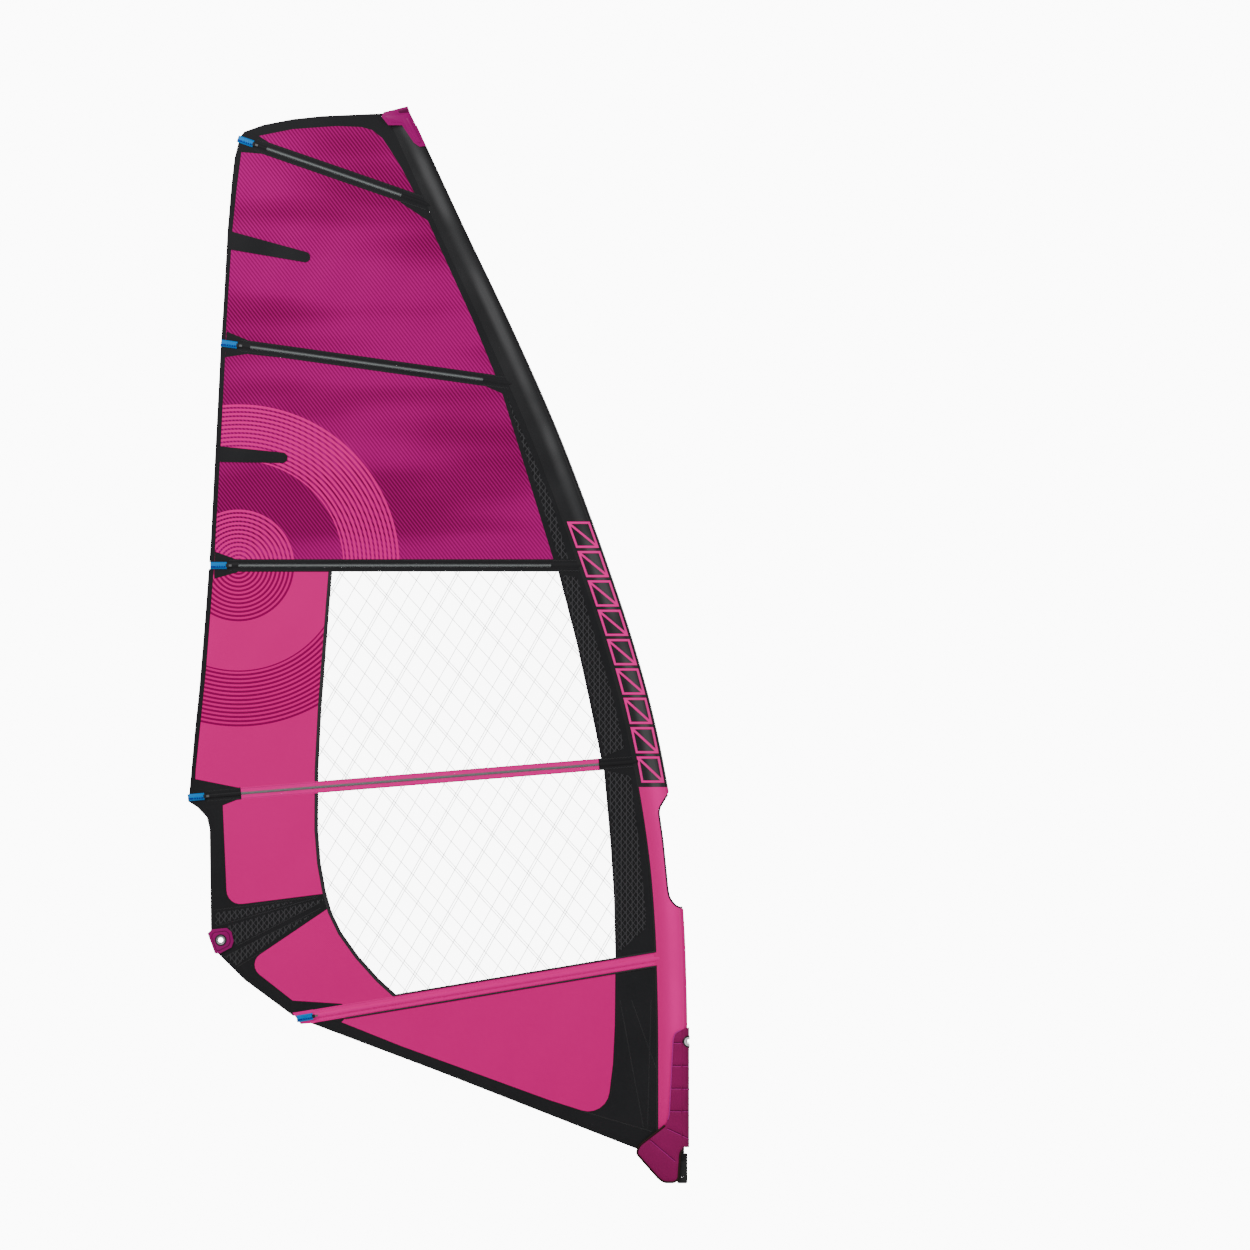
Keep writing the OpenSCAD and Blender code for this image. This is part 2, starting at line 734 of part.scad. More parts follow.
module sheave(k) {
    edge = sheave_t / 2;
    color(acetal) translate([block_x, (k - 2) * sheave_pitch, axle_z])
        rotate([90, 0, 0]) rotate_extrude() polygon([
            [axle_r + running_gap, -edge], [sheave_r, -edge], [sheave_r, -edge + sheave_edge],
            [sheave_r - groove_depth, 0], [sheave_r, edge - sheave_edge], [sheave_r, edge],
            [axle_r + running_gap, edge]
        ]);
}

module block_pin() {
    strap_out = strap_y + strap_t + sheave_gap;
    pin_in = neck_half_t + sheave_gap;
    color(steel) translate([block_x, 0, pin_z]) {
        rod_y(axle_r, -pin_in - 1, strap_out + 1);
        rod_y(pin_head_r, -pin_in - pin_head_l, -pin_in);
        rod_y(pin_head_r, strap_out, strap_out + pin_head_l);
    }
}

module tack_webbing() {
    color(black) difference() {
        translate([block_x, 0, pin_z]) {
            rod_y(strap_w / 2, strap_y, strap_y + strap_t);
            translate([-strap_w / 2, strap_y, 0]) cube([strap_w, strap_t, strap_top - pin_z]);
        }
        translate([block_x, 0, pin_z]) rod_y(axle_r + running_gap, 0, 50);
    }
}

sleeve_head();
sleeve_upper();
sleeve_middle();
sleeve_foot();
head_panel();
upper_panel();
mid_panel();
upper_window();
lower_window();
upper_leech_panel();
lower_leech_panel();
clew_panel();
foot_panel();
head_band();
leech_band_upper();
leech_band_mid();
leech_band_lower();
clew_reinforcement();
foot_band();
tack_panel();
window_seam();
luff_panel_upper();
luff_panel_mid();
luff_panel_window();
luff_panel_boom();
for (i = [1 : 5]) {
    batten_pocket(i - 1);
    batten(i - 1);
    tensioner_housing(i - 1);
    tensioner_screw(i - 1);
}
mini_batten_pockets();
mini_battens();
head_cap();
clew_patch();
clew_ring();
fairing_port();
fairing_starboard();
tack_eyelet();
tack_webbing();
block_body();
block_pin();
block_axle();
for (k = [1 : 3]) {
    sheave(k);
}
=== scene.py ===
import math
from functools import partialmethod

import bmesh
import bpy
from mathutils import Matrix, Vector


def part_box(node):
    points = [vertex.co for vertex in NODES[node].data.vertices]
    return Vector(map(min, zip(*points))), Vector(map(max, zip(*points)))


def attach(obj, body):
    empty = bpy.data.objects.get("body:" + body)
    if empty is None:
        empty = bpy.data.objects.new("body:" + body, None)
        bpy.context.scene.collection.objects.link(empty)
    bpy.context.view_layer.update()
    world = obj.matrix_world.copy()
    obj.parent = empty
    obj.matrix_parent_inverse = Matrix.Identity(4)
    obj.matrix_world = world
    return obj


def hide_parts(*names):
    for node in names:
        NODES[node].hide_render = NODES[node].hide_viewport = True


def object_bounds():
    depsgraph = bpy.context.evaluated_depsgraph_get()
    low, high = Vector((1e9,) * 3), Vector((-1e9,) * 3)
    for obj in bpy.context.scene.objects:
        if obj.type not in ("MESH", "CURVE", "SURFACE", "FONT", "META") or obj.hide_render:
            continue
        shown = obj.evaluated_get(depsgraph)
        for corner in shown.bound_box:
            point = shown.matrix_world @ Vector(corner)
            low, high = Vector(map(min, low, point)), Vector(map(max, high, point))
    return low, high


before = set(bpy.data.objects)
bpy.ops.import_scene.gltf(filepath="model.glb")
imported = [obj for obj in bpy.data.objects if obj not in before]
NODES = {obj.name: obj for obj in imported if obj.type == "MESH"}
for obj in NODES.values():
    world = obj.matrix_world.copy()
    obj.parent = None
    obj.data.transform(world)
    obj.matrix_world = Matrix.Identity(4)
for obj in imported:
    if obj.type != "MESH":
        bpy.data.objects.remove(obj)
cad_low, cad_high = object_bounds()
SIDES = {-1: "starboard", 1: "port"}
GRID = 0.025            # spacing of the grid that the cloth is cut into


# ---- Camera, stage and light ----

VIEW_SIDE = 4.8125      # width and height of the view
VIEW_CENTRE = Vector((-0.2195, 0, 2.148))
BACKDROP = 11.0         # how bright the plain background looks
ROOM_LIGHT = 0.25       # how much it lights the sail
FLOOR_HALF = 14
FLOOR_DROP = 0.003      # the floor lies this far below the sail


def new_object(name, data):
    made = bpy.data.objects.new(name, data)
    bpy.context.scene.collection.objects.link(made)
    return made


def make_camera():
    data = bpy.data.cameras.new("camera")
    data.type = "ORTHO"
    data.ortho_scale = VIEW_SIDE
    data.clip_end = 60
    camera = new_object("camera", data)
    camera.location = VIEW_CENTRE + Vector((0, -9, 0))
    camera.rotation_euler = (math.pi / 2, 0, 0)
    bpy.context.scene.camera = camera


def add_area_light(name, place, target, size, power):
    data = bpy.data.lights.new(name, "AREA")
    data.shape = "RECTANGLE"
    data.size, data.size_y = size
    data.energy = power
    light = new_object(name, data)
    light.location = place
    light.rotation_euler = (Vector(target) - Vector(place)).to_track_quat("-Z", "Y").to_euler()


def make_light():
    world = bpy.data.worlds.new("studio")
    bpy.context.scene.world = world
    world.use_nodes = True
    tree = world.node_tree
    background = tree.nodes["Background"]
    background.inputs["Color"].default_value = (1, 1, 1, 1)
    path = tree.nodes.new("ShaderNodeLightPath")
    strength = Value(tree, path.outputs["Is Camera Ray"]).ramp(0, 1, ROOM_LIGHT, BACKDROP)
    tree.links.new(strength.socket, background.inputs["Strength"])
    add_area_light("key", (-4.2, -4.6, 6.4), (-0.9, 0, 2.0), (2.6, 3.6), 430)
    add_area_light("fill", (3.4, -5.2, 2.6), (-0.9, 0, 2.2), (0.8, 4.0), 90)
    add_area_light("rim", (3.4, 4.4, 3.4), (-0.6, 0, 2.0), (2.4, 3.2), 300)


def make_floor():
    mesh = bpy.data.meshes.new("floor")
    signs = ((-1, -1), (1, -1), (1, 1), (-1, 1))
    corners = [(x * FLOOR_HALF, y * FLOOR_HALF, 0) for x, y in signs]
    mesh.from_pydata(corners, [], [(0, 1, 2, 3)])
    floor = new_object("floor", mesh)
    floor.location.z = cad_low.z - FLOOR_DROP
    floor.data.materials.append(MATERIALS["floor"])


# ---- Shader helper: values that add and multiply as numbers do ----

class Value:
    """One socket of a material's node tree, with arithmetic that adds Math nodes."""

    def __init__(self, tree, socket):
        self.tree = tree
        self.socket = socket

    def math(self, operation, *others):
        node = self.tree.nodes.new("ShaderNodeMath")
        node.operation = operation
        for i, value in enumerate((self,) + others):
            if isinstance(value, Value):
                self.tree.links.new(value.socket, node.inputs[i])
            else:
                node.inputs[i].default_value = value
        return Value(self.tree, node.outputs[0])

    __add__ = partialmethod(math, "ADD")
    __sub__ = partialmethod(math, "SUBTRACT")
    __mul__ = partialmethod(math, "MULTIPLY")
    __truediv__ = partialmethod(math, "DIVIDE")
    abs = partialmethod(math, "ABSOLUTE")
    floor = partialmethod(math, "FLOOR")
    less = partialmethod(math, "LESS_THAN")
    more = partialmethod(math, "GREATER_THAN")
    max = partialmethod(math, "MAXIMUM")

    def wave(self, pitch):
        """A triangle wave: 0 on each line, 1 half way between two lines."""
        return (self / (pitch / 2)).math("PINGPONG", 1.0)

    def ramp(self, low, high, at_low=0.0, at_high=1.0):
        """Goes smoothly from at_low to at_high as the value goes from low to high."""
        node = self.tree.nodes.new("ShaderNodeMapRange")
        node.interpolation_type = "SMOOTHSTEP"
        self.tree.links.new(self.socket, node.inputs["Value"])
        for key, value in zip(("From Min", "From Max", "To Min", "To Max"),
                              (low, high, at_low, at_high)):
            node.inputs[key].default_value = value
        return Value(self.tree, node.outputs["Result"])


MATERIALS = {}


class Paint:
    """A material with a principled shader, kept by its name, and short ways to wire it."""

    def __init__(self, name, roughness=0.5, specular=0.15, **settings):
        MATERIALS[name] = bpy.data.materials.new(name)
        MATERIALS[name].use_nodes = True
        self.tree = MATERIALS[name].node_tree
        self.shader = self.tree.nodes["Principled BSDF"]
        self.shader.inputs["Roughness"].default_value = roughness
        self.shader.inputs["Specular IOR Level"].default_value = specular
        for key, value in settings.items():
            self.shader.inputs[key].default_value = value
        self.place = self.tree.nodes.new("ShaderNodeTexCoord")

    def axes(self, kind="Object"):
        """x, y and z of the point, in metres of the row frame, or u and v of the UV map."""
        split = self.tree.nodes.new("ShaderNodeSeparateXYZ")
        self.tree.links.new(self.place.outputs[kind], split.inputs[0])
        return [Value(self.tree, split.outputs[i]) for i in range(3)]

    def noise(self, scale, detail=2.0, roughness=0.5, stretch=(1, 1, 1)):
        node = self.tree.nodes.new("ShaderNodeTexNoise")
        node.inputs["Scale"].default_value = scale
        node.inputs["Detail"].default_value = detail
        node.inputs["Roughness"].default_value = roughness
        mapping = self.tree.nodes.new("ShaderNodeMapping")
        mapping.inputs["Scale"].default_value = stretch
        self.tree.links.new(self.place.outputs["Object"], mapping.inputs["Vector"])
        self.tree.links.new(mapping.outputs[0], node.inputs["Vector"])
        return Value(self.tree, node.outputs["Fac"])

    def mix(self, share, low, high):
        """A colour that goes from low to high as share goes from 0 to 1."""
        node = self.tree.nodes.new("ShaderNodeMix")
        node.data_type = "RGBA"
        self.tree.links.new(share.socket, node.inputs["Factor"])
        for key, colour in (("A", low), ("B", high)):
            socket = [s for s in node.inputs if s.name == key and s.type == "RGBA"][0]
            if isinstance(colour, bpy.types.NodeSocket):
                self.tree.links.new(colour, socket)
            else:
                socket.default_value = (*colour, 1)
        return [s for s in node.outputs if s.type == "RGBA"][0]

    def shade(self, share, low, high):
        """The surface's colour, from low to high."""
        self.tree.links.new(self.mix(share, low, high), self.shader.inputs["Base Color"])

    def rough(self, value):
        self.tree.links.new(value.socket, self.shader.inputs["Roughness"])

    def bump(self, height, distance=0.001, strength=1.0):
        """height is in shares of distance."""
        node = self.tree.nodes.new("ShaderNodeBump")
        node.inputs["Strength"].default_value = strength
        node.inputs["Distance"].default_value = distance
        self.tree.links.new(height.socket, node.inputs["Height"])
        self.tree.links.new(node.outputs[0], self.shader.inputs["Normal"])


# ---- Materials ----

PINK = (0.78, 0.0, 0.24)
PINK_LIGHT = (0.92, 0.0, 0.30)
PINK_DEEP = (0.64, 0.0, 0.18)
MAGENTA = (0.14, 0.0, 0.045)
MAGENTA_LIGHT = (0.42, 0.0, 0.175)
BLACK = (0.006, 0.006, 0.007)
CHARCOAL = (0.022, 0.022, 0.024)
RING_CENTRE = (-1.708, 2.377)
RING_PITCH = 0.0162
EYELET_CENTRE = (0.027, 0.544)
EYELET_RING = 0.0177    # radius of the white ring
RING_RADII = (0.216, 0.404, 0.624)      # the disc, and the band's inner and outer edge
THREAD_WAVE = 0.0016                    # spacing of the threads in plain cloth
THREAD_DEPTH = 0.00012
SLANT = (0.79, 0.61)                    # across the slanted threads and stripes, in x and z


def weave(paint):
    """The bump of a plain weave, seen from the side."""
    x, _, z = paint.axes()
    threads = x.wave(THREAD_WAVE) * z.wave(THREAD_WAVE)
    paint.bump(threads, THREAD_DEPTH, 0.6)
    return threads


def distance_from(x, z, centre):
    dx = x - centre[0]
    dz = z - centre[1]
    return (dx * dx + dz * dz).math("SQRT")


def inside_rings(distance):
    """1 in the inner disc and in the outer band of the ring graphic."""
    disc, band_in, band_out = RING_RADII
    return distance.less(disc).max(distance.more(band_in) * distance.less(band_out))


def make_black_cloth():
    paint = Paint("black_cloth", 0.55)
    threads = weave(paint)
    cloud = paint.noise(5, 3)
    paint.shade(cloud * 0.5 + threads * 0.4, BLACK, CHARCOAL)


def make_black_scrim():
    paint = Paint("black_scrim", 0.42)
    x, _, z = paint.axes()
    first = (x * SLANT[0] + z * SLANT[1]).wave(0.0165).less(0.14)
    second = (x * SLANT[0] - z * SLANT[1]).wave(0.0165).less(0.14)
    third = (x + 0.004).wave(0.0209).less(0.10)
    threads = first.max(second).max(third)
    paint.shade(threads, (0.010, 0.010, 0.011), (0.05, 0.05, 0.053))
    paint.bump(threads, 0.0002, 0.5)


def make_pink_cloth():
    paint = Paint("pink_cloth", 0.5, 0.08)
    threads = weave(paint)
    cloud = paint.noise(4, 2)
    paint.shade(cloud * 0.6 + threads * 0.3, PINK, PINK_LIGHT)


def make_pink_film():
    paint = Paint("pink_film", 0.34, 0.06)
    x, _, z = paint.axes()
    dots = (x + z).wave(0.0072) * (x - z).wave(0.0072)
    fine = dots.ramp(0.25, 0.75)
    lines = distance_from(x, z, RING_CENTRE)
    rings = lines.wave(RING_PITCH).less(0.5) * inside_rings(lines)
    cloud = paint.noise(2.2, 2)
    ground = paint.mix(fine * 0.65 + cloud * 0.35, PINK_DEEP, PINK)
    paint.shade(rings * 0.9, ground, (0.2, 0.0, 0.06))
    paint.bump(fine, 0.0001, 0.4)


def make_magenta_film():
    paint = Paint("magenta_film", 0.28, 0.12)
    x, _, z = paint.axes()
    slanted = x * SLANT[0] + z * SLANT[1]
    drift = paint.noise(1.6, 1) * 0.006
    stripes = (slanted + drift).wave(0.0113).ramp(0.3, 0.7)
    # painted sheen: soft lighter bands, stretched level, stand for reflections in the film
    painted_sheen_bands = paint.noise(1.25, 2, 0.5, (0.55, 1, 2.6)).ramp(0.38, 0.62)
    ground = paint.mix(stripes * 0.62 + painted_sheen_bands * 0.5, MAGENTA, MAGENTA_LIGHT)
    lines = distance_from(x, z, RING_CENTRE)
    rings = lines.wave(RING_PITCH).less(0.58) * inside_rings(lines)
    paint.shade(rings * 0.95, ground, PINK)
    paint.bump(stripes, 0.0001, 0.3)


def make_window_film():
    paint = Paint("window_film", 0.12, Alpha=0.1)
    tint = paint.noise(3, 2)
    paint.shade(tint, (0.86, 0.88, 0.9), (0.97, 0.97, 0.98))
    paint.bump(paint.noise(2.6, 2), 0.004, 0.25)


def make_clear_pocket():
    paint = Paint("clear_pocket", 0.2, Alpha=0.07)
    shine = paint.noise(14, 2)
    paint.shade(shine, (0.45, 0.47, 0.5), (0.6, 0.61, 0.63))
    paint.bump(shine, 0.001, 0.4)


def make_tape():
    """Black webbing tape with a fine rib."""
    paint = Paint("tape", 0.7)
    x, _, z = paint.axes()
    ribs = (x + z * 1.3).wave(0.0022)
    paint.shade(ribs, (0.01, 0.01, 0.011), (0.045, 0.045, 0.048))
    paint.bump(ribs, 0.0003, 0.7)


def make_batten_rod():
    """Carbon rod with a faint winding."""
    paint = Paint("batten_rod", 0.38)
    x, _, z = paint.axes()
    winding = (x + z * 4).wave(0.006)
    paint.shade(winding, (0.075, 0.085, 0.083), (0.17, 0.19, 0.185))
    paint.bump(winding, 0.0002, 0.3)


def clouded(name, roughness, scale, low, high):
    """One colour with a slow change of tone."""
    paint = Paint(name, roughness)
    paint.shade(paint.noise(scale), low, high)
    return paint


def make_plain_materials():
    clouded("window_thread", 0.5, 40, (0.30, 0.31, 0.33), (0.42, 0.43, 0.45))
    clouded("stitch", 0.6, 60, (0.035, 0.035, 0.037), (0.08, 0.08, 0.083))
    clouded("pink_stitch", 0.6, 60, PINK_DEEP, (0.6, 0.01, 0.2))
    clouded("floor", 0.9, 0.4, (0.86, 0.86, 0.86), (0.9, 0.9, 0.9))
    for name, low, high, roughness in (     # moulded plastic, with a fine grain
            ("plum_plastic", (0.24, 0.0, 0.105), (0.33, 0.0, 0.145), 0.36),
            ("binding", (0.014, 0.005, 0.004), (0.034, 0.014, 0.011), 0.6),
            # plum_light also gives the painted highlight of the fairing's beads; plum_dark also
            # gives the painted shade in the fairing's seams and the clew groove
            ("plum_light", (0.40, 0.01, 0.2), (0.5, 0.02, 0.26), 0.4),
            ("plum_dark", (0.085, 0.0, 0.036), (0.12, 0.0, 0.052), 0.45),
            ("blue_plastic", (0.0, 0.16, 0.48), (0.0, 0.22, 0.64), 0.3),
            # a darker copy of the blue plastic: painted shade for the tensioner's lower facet
            ("painted_shade_blue_plastic", (0.0, 0.018, 0.2), (0.0, 0.03, 0.28), 0.3),
            ("black_plastic", (0.010, 0.010, 0.011), (0.03, 0.03, 0.032), 0.42),
            ("grey_plastic", (0.09, 0.09, 0.095), (0.16, 0.16, 0.165), 0.45)):
        paint = clouded(name, roughness, 6, low, high)
        paint.bump(paint.noise(220, 2), 0.0002, 0.35)


def make_plum_padding():
    """Padded knit over foam: a fine diamond knit."""
    paint = Paint("plum_padding", 0.6)
    x, y, z = paint.axes()
    knit = (x + y + z).wave(0.005) * (x + y - z).wave(0.005)
    cloud = paint.noise(5, 2)
    paint.shade(cloud * 0.6 + knit * 0.3, (0.19, 0.002, 0.064), (0.36, 0.006, 0.136))
    paint.bump(knit, 0.0005, 0.5)


def make_eyelet():
    """White ring in a black flange, told apart by the distance from the hole."""
    paint = Paint("eyelet", 0.32, 0.4)
    x, _, z = paint.axes()
    away = distance_from(x, z, EYELET_CENTRE)
    tone = paint.noise(30) * 0.1
    paint.shade(away.less(EYELET_RING) - tone, (0.01, 0.01, 0.01), (0.8, 0.8, 0.82))


def make_steel():
    paint = Paint("steel", 0.24, Metallic=1.0)
    grain = paint.noise(40, 3, 0.6, (1, 1, 8))
    paint.shade(grain, (0.46, 0.46, 0.47), (0.72, 0.72, 0.73))
    paint.rough(grain.ramp(0.2, 0.8, 0.16, 0.34))


# ---- Sleeve's material: u is the distance behind the luff and v the height, in metres ----

PINK_WIDTH = 0.113      # the pink cloth ends here, behind the luff
PINK_TOP = 1.524
POCKET_5_LINE = (0.167, 0.879)      # slope, and height at the mast, of the pink pocket's axis
POCKET_5_HALF = 0.025
PAINTED_HIGHLIGHT_LINE = 0.046      # the painted highlight up the sleeve lies here, behind the luff
BLOCK_LINE = 0.0085     # width of the graphic's lines
BLOCK_PITCH = 0.113
BLOCK_MIDDLE = 0.056    # the row's middle line, behind the luff
BLOCK_SIZE = (0.088, 0.101)
BLOCK_START = 1.535
BLOCK_COUNT = 9


def block_pattern(u, v):
    """A row of outlined blocks up the sleeve, each with a diagonal."""
    height = v - BLOCK_START
    place = (height / BLOCK_PITCH).floor()
    along = height - place * BLOCK_PITCH
    across = (u - BLOCK_MIDDLE).abs()
    length = (along - BLOCK_PITCH / 2).abs()
    edge = (across - BLOCK_SIZE[0] / 2).max(length - BLOCK_SIZE[1] / 2)
    inside = edge.less(0.0)
    diagonal = ((u - BLOCK_MIDDLE) * (BLOCK_SIZE[1] / BLOCK_SIZE[0])
                - (along - BLOCK_PITCH / 2)).abs().less(BLOCK_LINE * 0.85)
    zone = place.more(-0.5) * place.less(BLOCK_COUNT - 0.5)
    return inside * edge.more(-BLOCK_LINE).max(diagonal) * zone


def make_sleeve_cloth():
    """Pink at the foot and black above it, with outlined blocks up the black part, a painted
    highlight up the sleeve and painted shade towards the back of the pink part.
    """
    paint = Paint("sleeve_cloth", 0.36, 0.2)
    x, _, z = paint.axes()
    u, v, _ = paint.axes("UV")
    ribs = (u * 0.6 + v).wave(0.0018) * (u * 0.6 - v).wave(0.0018)
    cloud = paint.noise(5, 3)
    # painted highlight: a lighter band up the sleeve, broken by clouds, stands for the light on
    # the round tube
    highlight_clouds = paint.noise(3.2, 2, 0.5).ramp(0.36, 0.62, 0.35, 1.0)
    painted_highlight = (u - PAINTED_HIGHLIGHT_LINE).abs().ramp(0.0, 0.034, 1.0, 0.0) * highlight_clouds
    # painted shade: the pink darkens towards the back of the sleeve
    shade = u.ramp(0.055, 0.105) * 0.75
    black = paint.mix(cloud * 0.3 + ribs * 0.2 + painted_highlight, BLACK, (0.060, 0.060, 0.062))
    pink = paint.mix(cloud * 0.2 + ribs * 0.15 + painted_highlight * 0.8, PINK, PINK_LIGHT)
    pink = paint.mix(shade, pink, PINK_DEEP)
    slope, height = POCKET_5_LINE
    under_pocket = (z - x * slope - height).abs().less(POCKET_5_HALF)
    below = z.less(PINK_TOP) * u.less(PINK_WIDTH).max(under_pocket)
    ground = paint.mix(below, black, pink)
    paint.shade(block_pattern(u, v), ground, PINK_LIGHT)
    paint.bump(ribs, 0.00012, 0.5)


# ---- The sail's own lines ----

LUFF = (    # height, front edge of the sleeve, chord of the sleeve
    (0.140, 0.022, 0.116), (0.600, 0.021, 0.115), (0.800, 0.017, 0.115), (1.000, 0.009, 0.114),
    (1.250, -0.012, 0.113), (1.540, -0.056, 0.112), (1.820, -0.114, 0.111),
    (2.100, -0.192, 0.110), (2.375, -0.283, 0.110), (2.650, -0.382, 0.108),
    (2.930, -0.492, 0.107), (3.300, -0.657, 0.105), (3.670, -0.834, 0.099),
    (4.072, -1.021, 0.091),
)
BATTENS = (     # leech end x and z, slope in degrees, radius, width of the pocket
    (-1.711, 4.021, -19.1, 0.0035, 0.050), (-1.776, 3.234, -7.95, 0.0035, 0.048),
    (-1.817, 2.377, 0.0, 0.0035, 0.048), (-1.903, 1.483, 4.63, 0.005, 0.046),
    (-1.484, 0.631, 9.5, 0.005, 0.050),
)
CLEW = Vector((-1.776, 0, 0.935))
HEAD = Vector((-1.08, 0, 4.06))
FULLNESS = 0.010        # how far the cloth stands off its middle plane between battens
FLAT_BAND = 0.03        # cloth this near to a batten's axis lies flat
LUFF_REACH = 0.30       # the fullness grows over this distance behind the sleeve
LAST_BAY = 0.5          # the bays at the head and the foot are taken to be this high
SLANTED_SHARE = 0.35    # a panel that fills less of its box is measured along its slant


def luff_value(z, column):
    """A smooth curve through the luff's stations."""
    i = max(k for k in range(len(LUFF) - 1) if k == 0 or LUFF[k][0] <= z)
    stations = [LUFF[max(0, min(len(LUFF) - 1, i + k))] for k in (-1, 0, 1, 2)]
    before, low, high, after = stations
    step = high[0] - low[0]
    t = (z - low[0]) / step
    slope_low = (high[column] - before[column]) / (high[0] - before[0])
    slope_high = (after[column] - low[column]) / (after[0] - low[0])
    return (low[column] * (2 * t ** 3 - 3 * t ** 2 + 1)
            + slope_low * step * (t ** 3 - 2 * t ** 2 + t)
            + high[column] * (3 * t ** 2 - 2 * t ** 3)
            + slope_high * step * (t ** 3 - t ** 2))


def seam_x(z):
    return luff_value(z, 1) - luff_value(z, 2)


def smooth(value, low, high):
    t = max(0.0, min(1.0, (value - low) / (high - low)))
    return t * t * (3 - 2 * t)


def batten_z(i, x):
    x0, z0, slope = BATTENS[i][:3]
    return z0 + math.tan(math.radians(slope)) * (x - x0)


def billow(x, z):
    """How far the cloth stands off the sail's plane: full between two battens, flat at them."""
    gaps = [z - batten_z(i, x) for i in range(len(BATTENS))]
    up = min([-gap for gap in gaps if gap < 0], default=LAST_BAY)
    down = min([gap for gap in gaps if gap >= 0], default=LAST_BAY)
    clear_up, clear_down = max(0, up - FLAT_BAND), max(0, down - FLAT_BAND)
    full = math.sin(math.pi * clear_down / max(1e-6, clear_up + clear_down))
    reach = smooth(seam_x(max(0.14, min(4.07, z))) - x, 0.0, LUFF_REACH)
    place = Vector((x, 0, z))
    held = smooth((place - CLEW).length, 0.06, 0.5) * smooth((place - HEAD).length, 0.1, 0.5)
    crease = 0.20 * math.sin(19 * (z + 0.35 * x) + 2 * math.sin(3 * x))
    crease += 0.12 * math.sin(31 * (x - 0.6 * z) + 1.5 * math.sin(4 * z))
    return -FULLNESS * full * reach * held * (1 + crease)


# ---- Making pieces ----

def shade_smooth(mesh, sharp_angle=35):
    mesh.polygons.foreach_set("use_smooth", [True] * len(mesh.polygons))
    mesh.set_sharp_from_angle(angle=math.radians(sharp_angle))


def evaluated(thing):
    """A new mesh of what an object's modifiers or curve settings make of it."""
    bpy.context.view_layer.update()
    return bpy.data.meshes.new_from_object(
        thing.evaluated_get(bpy.context.evaluated_depsgraph_get()))


def bake(piece):
    """Replaces the piece's mesh by what its modifiers make of it."""
    result = evaluated(piece)
    piece.modifiers.clear()
    piece.data = result


def prism(mesh, outline, low, high):
    """Adds a closed plate: an outline given from the side, from low to high across the sail."""
    front, back = ([mesh.verts.new((x, y, z)) for x, z in outline] for y in (low, high))
    mesh.faces.new(front)
    mesh.faces.new(back[::-1])
    for k in range(len(outline)):
        n = (k + 1) % len(outline)
        mesh.faces.new((front[n], front[k], back[k], back[n]))


def face_out(mesh):
    bmesh.ops.recalc_face_normals(mesh, faces=mesh.faces)


def circle(centre, radius, steps):
    return [(centre[0] + radius * math.cos(math.tau * k / steps),
             centre[1] + radius * math.sin(math.tau * k / steps)) for k in range(steps)]


def bend(mesh):
    """Gives flat cloth the sail's billow."""
    for vert in mesh.verts:
        vert.co.y += billow(vert.co.x, vert.co.z)


def add_piece(name, mesh, material, body="sail", replaces=(), smooth_angle=35):
    """Links a finished mesh as a piece that rides on a body."""
    if isinstance(mesh, bmesh.types.BMesh):
        built = bpy.data.meshes.new(name)
        mesh.to_mesh(built)
        mesh.free()
        mesh = built
    shade_smooth(mesh, smooth_angle)
    piece = new_object(name, mesh)
    if not mesh.materials:
        mesh.materials.append(MATERIALS[material])
    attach(piece, body)
    if replaces:
        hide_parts(*replaces)
    return piece


def cut_grid(mesh, spacing=GRID):
    """Cuts flat cloth along a square grid, so that it can bend."""
    for axis in (Vector((1, 0, 0)), Vector((0, 0, 1))):
        places = [vert.co.dot(axis) for vert in mesh.verts]
        line = (math.floor(min(places) / spacing) + 1) * spacing
        while line < max(places):
            everything = mesh.verts[:] + mesh.edges[:] + mesh.faces[:]
            bmesh.ops.bisect_plane(mesh, geom=everything, dist=1e-6, plane_co=axis * line,
                                   plane_no=axis)
            line += spacing


def cad_copy(node):
    """The CAD mesh of a node, welded, with its flat faces joined."""
    mesh = bmesh.new()
    mesh.from_mesh(NODES[node].data)
    bmesh.ops.remove_doubles(mesh, verts=mesh.verts, dist=1e-5)
    bmesh.ops.dissolve_limit(mesh, angle_limit=0.01, verts=mesh.verts, edges=mesh.edges)
    return mesh


def add_cloth(node, material):
    """A cloth panel: the CAD plate, cut into a grid and billowed."""
    mesh = cad_copy(node)
    low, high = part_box(node)
    area = sum(face.calc_area() for face in mesh.faces if face.normal.y < -0.9)
    cut_grid(mesh)
    bend(mesh)
    piece = add_piece(node + "_cloth", mesh, material, "sail", (node,))
    length = max(high.x - low.x, high.z - low.z)
    width = min(high.x - low.x, high.z - low.z)
    if area < SLANTED_SHARE * width * length:
        length = (high - low).length
        width = area / length


# ---- Sleeve ----

WALL = 0.0012
SEAM_HALF = 0.0016
NOSE_RADIUS = 0.022     # of the widest section, at the foot
HOLLOW = 0.0012         # how far the soft sides sink in and swell
ROW = 0.02          # height of one row of the mesh
OVERLAP = 0.007     # the sleeve is sewn on over the edge of the cloth
NOSE_END = 102      # degrees of arc to each side of the nose
ARC_STEPS = 9
CORNER_STEPS = 4    # a rounded corner has one point more
CAPSULE_STEPS = 6   # and so has a round end
SIDE_STEPS = 6


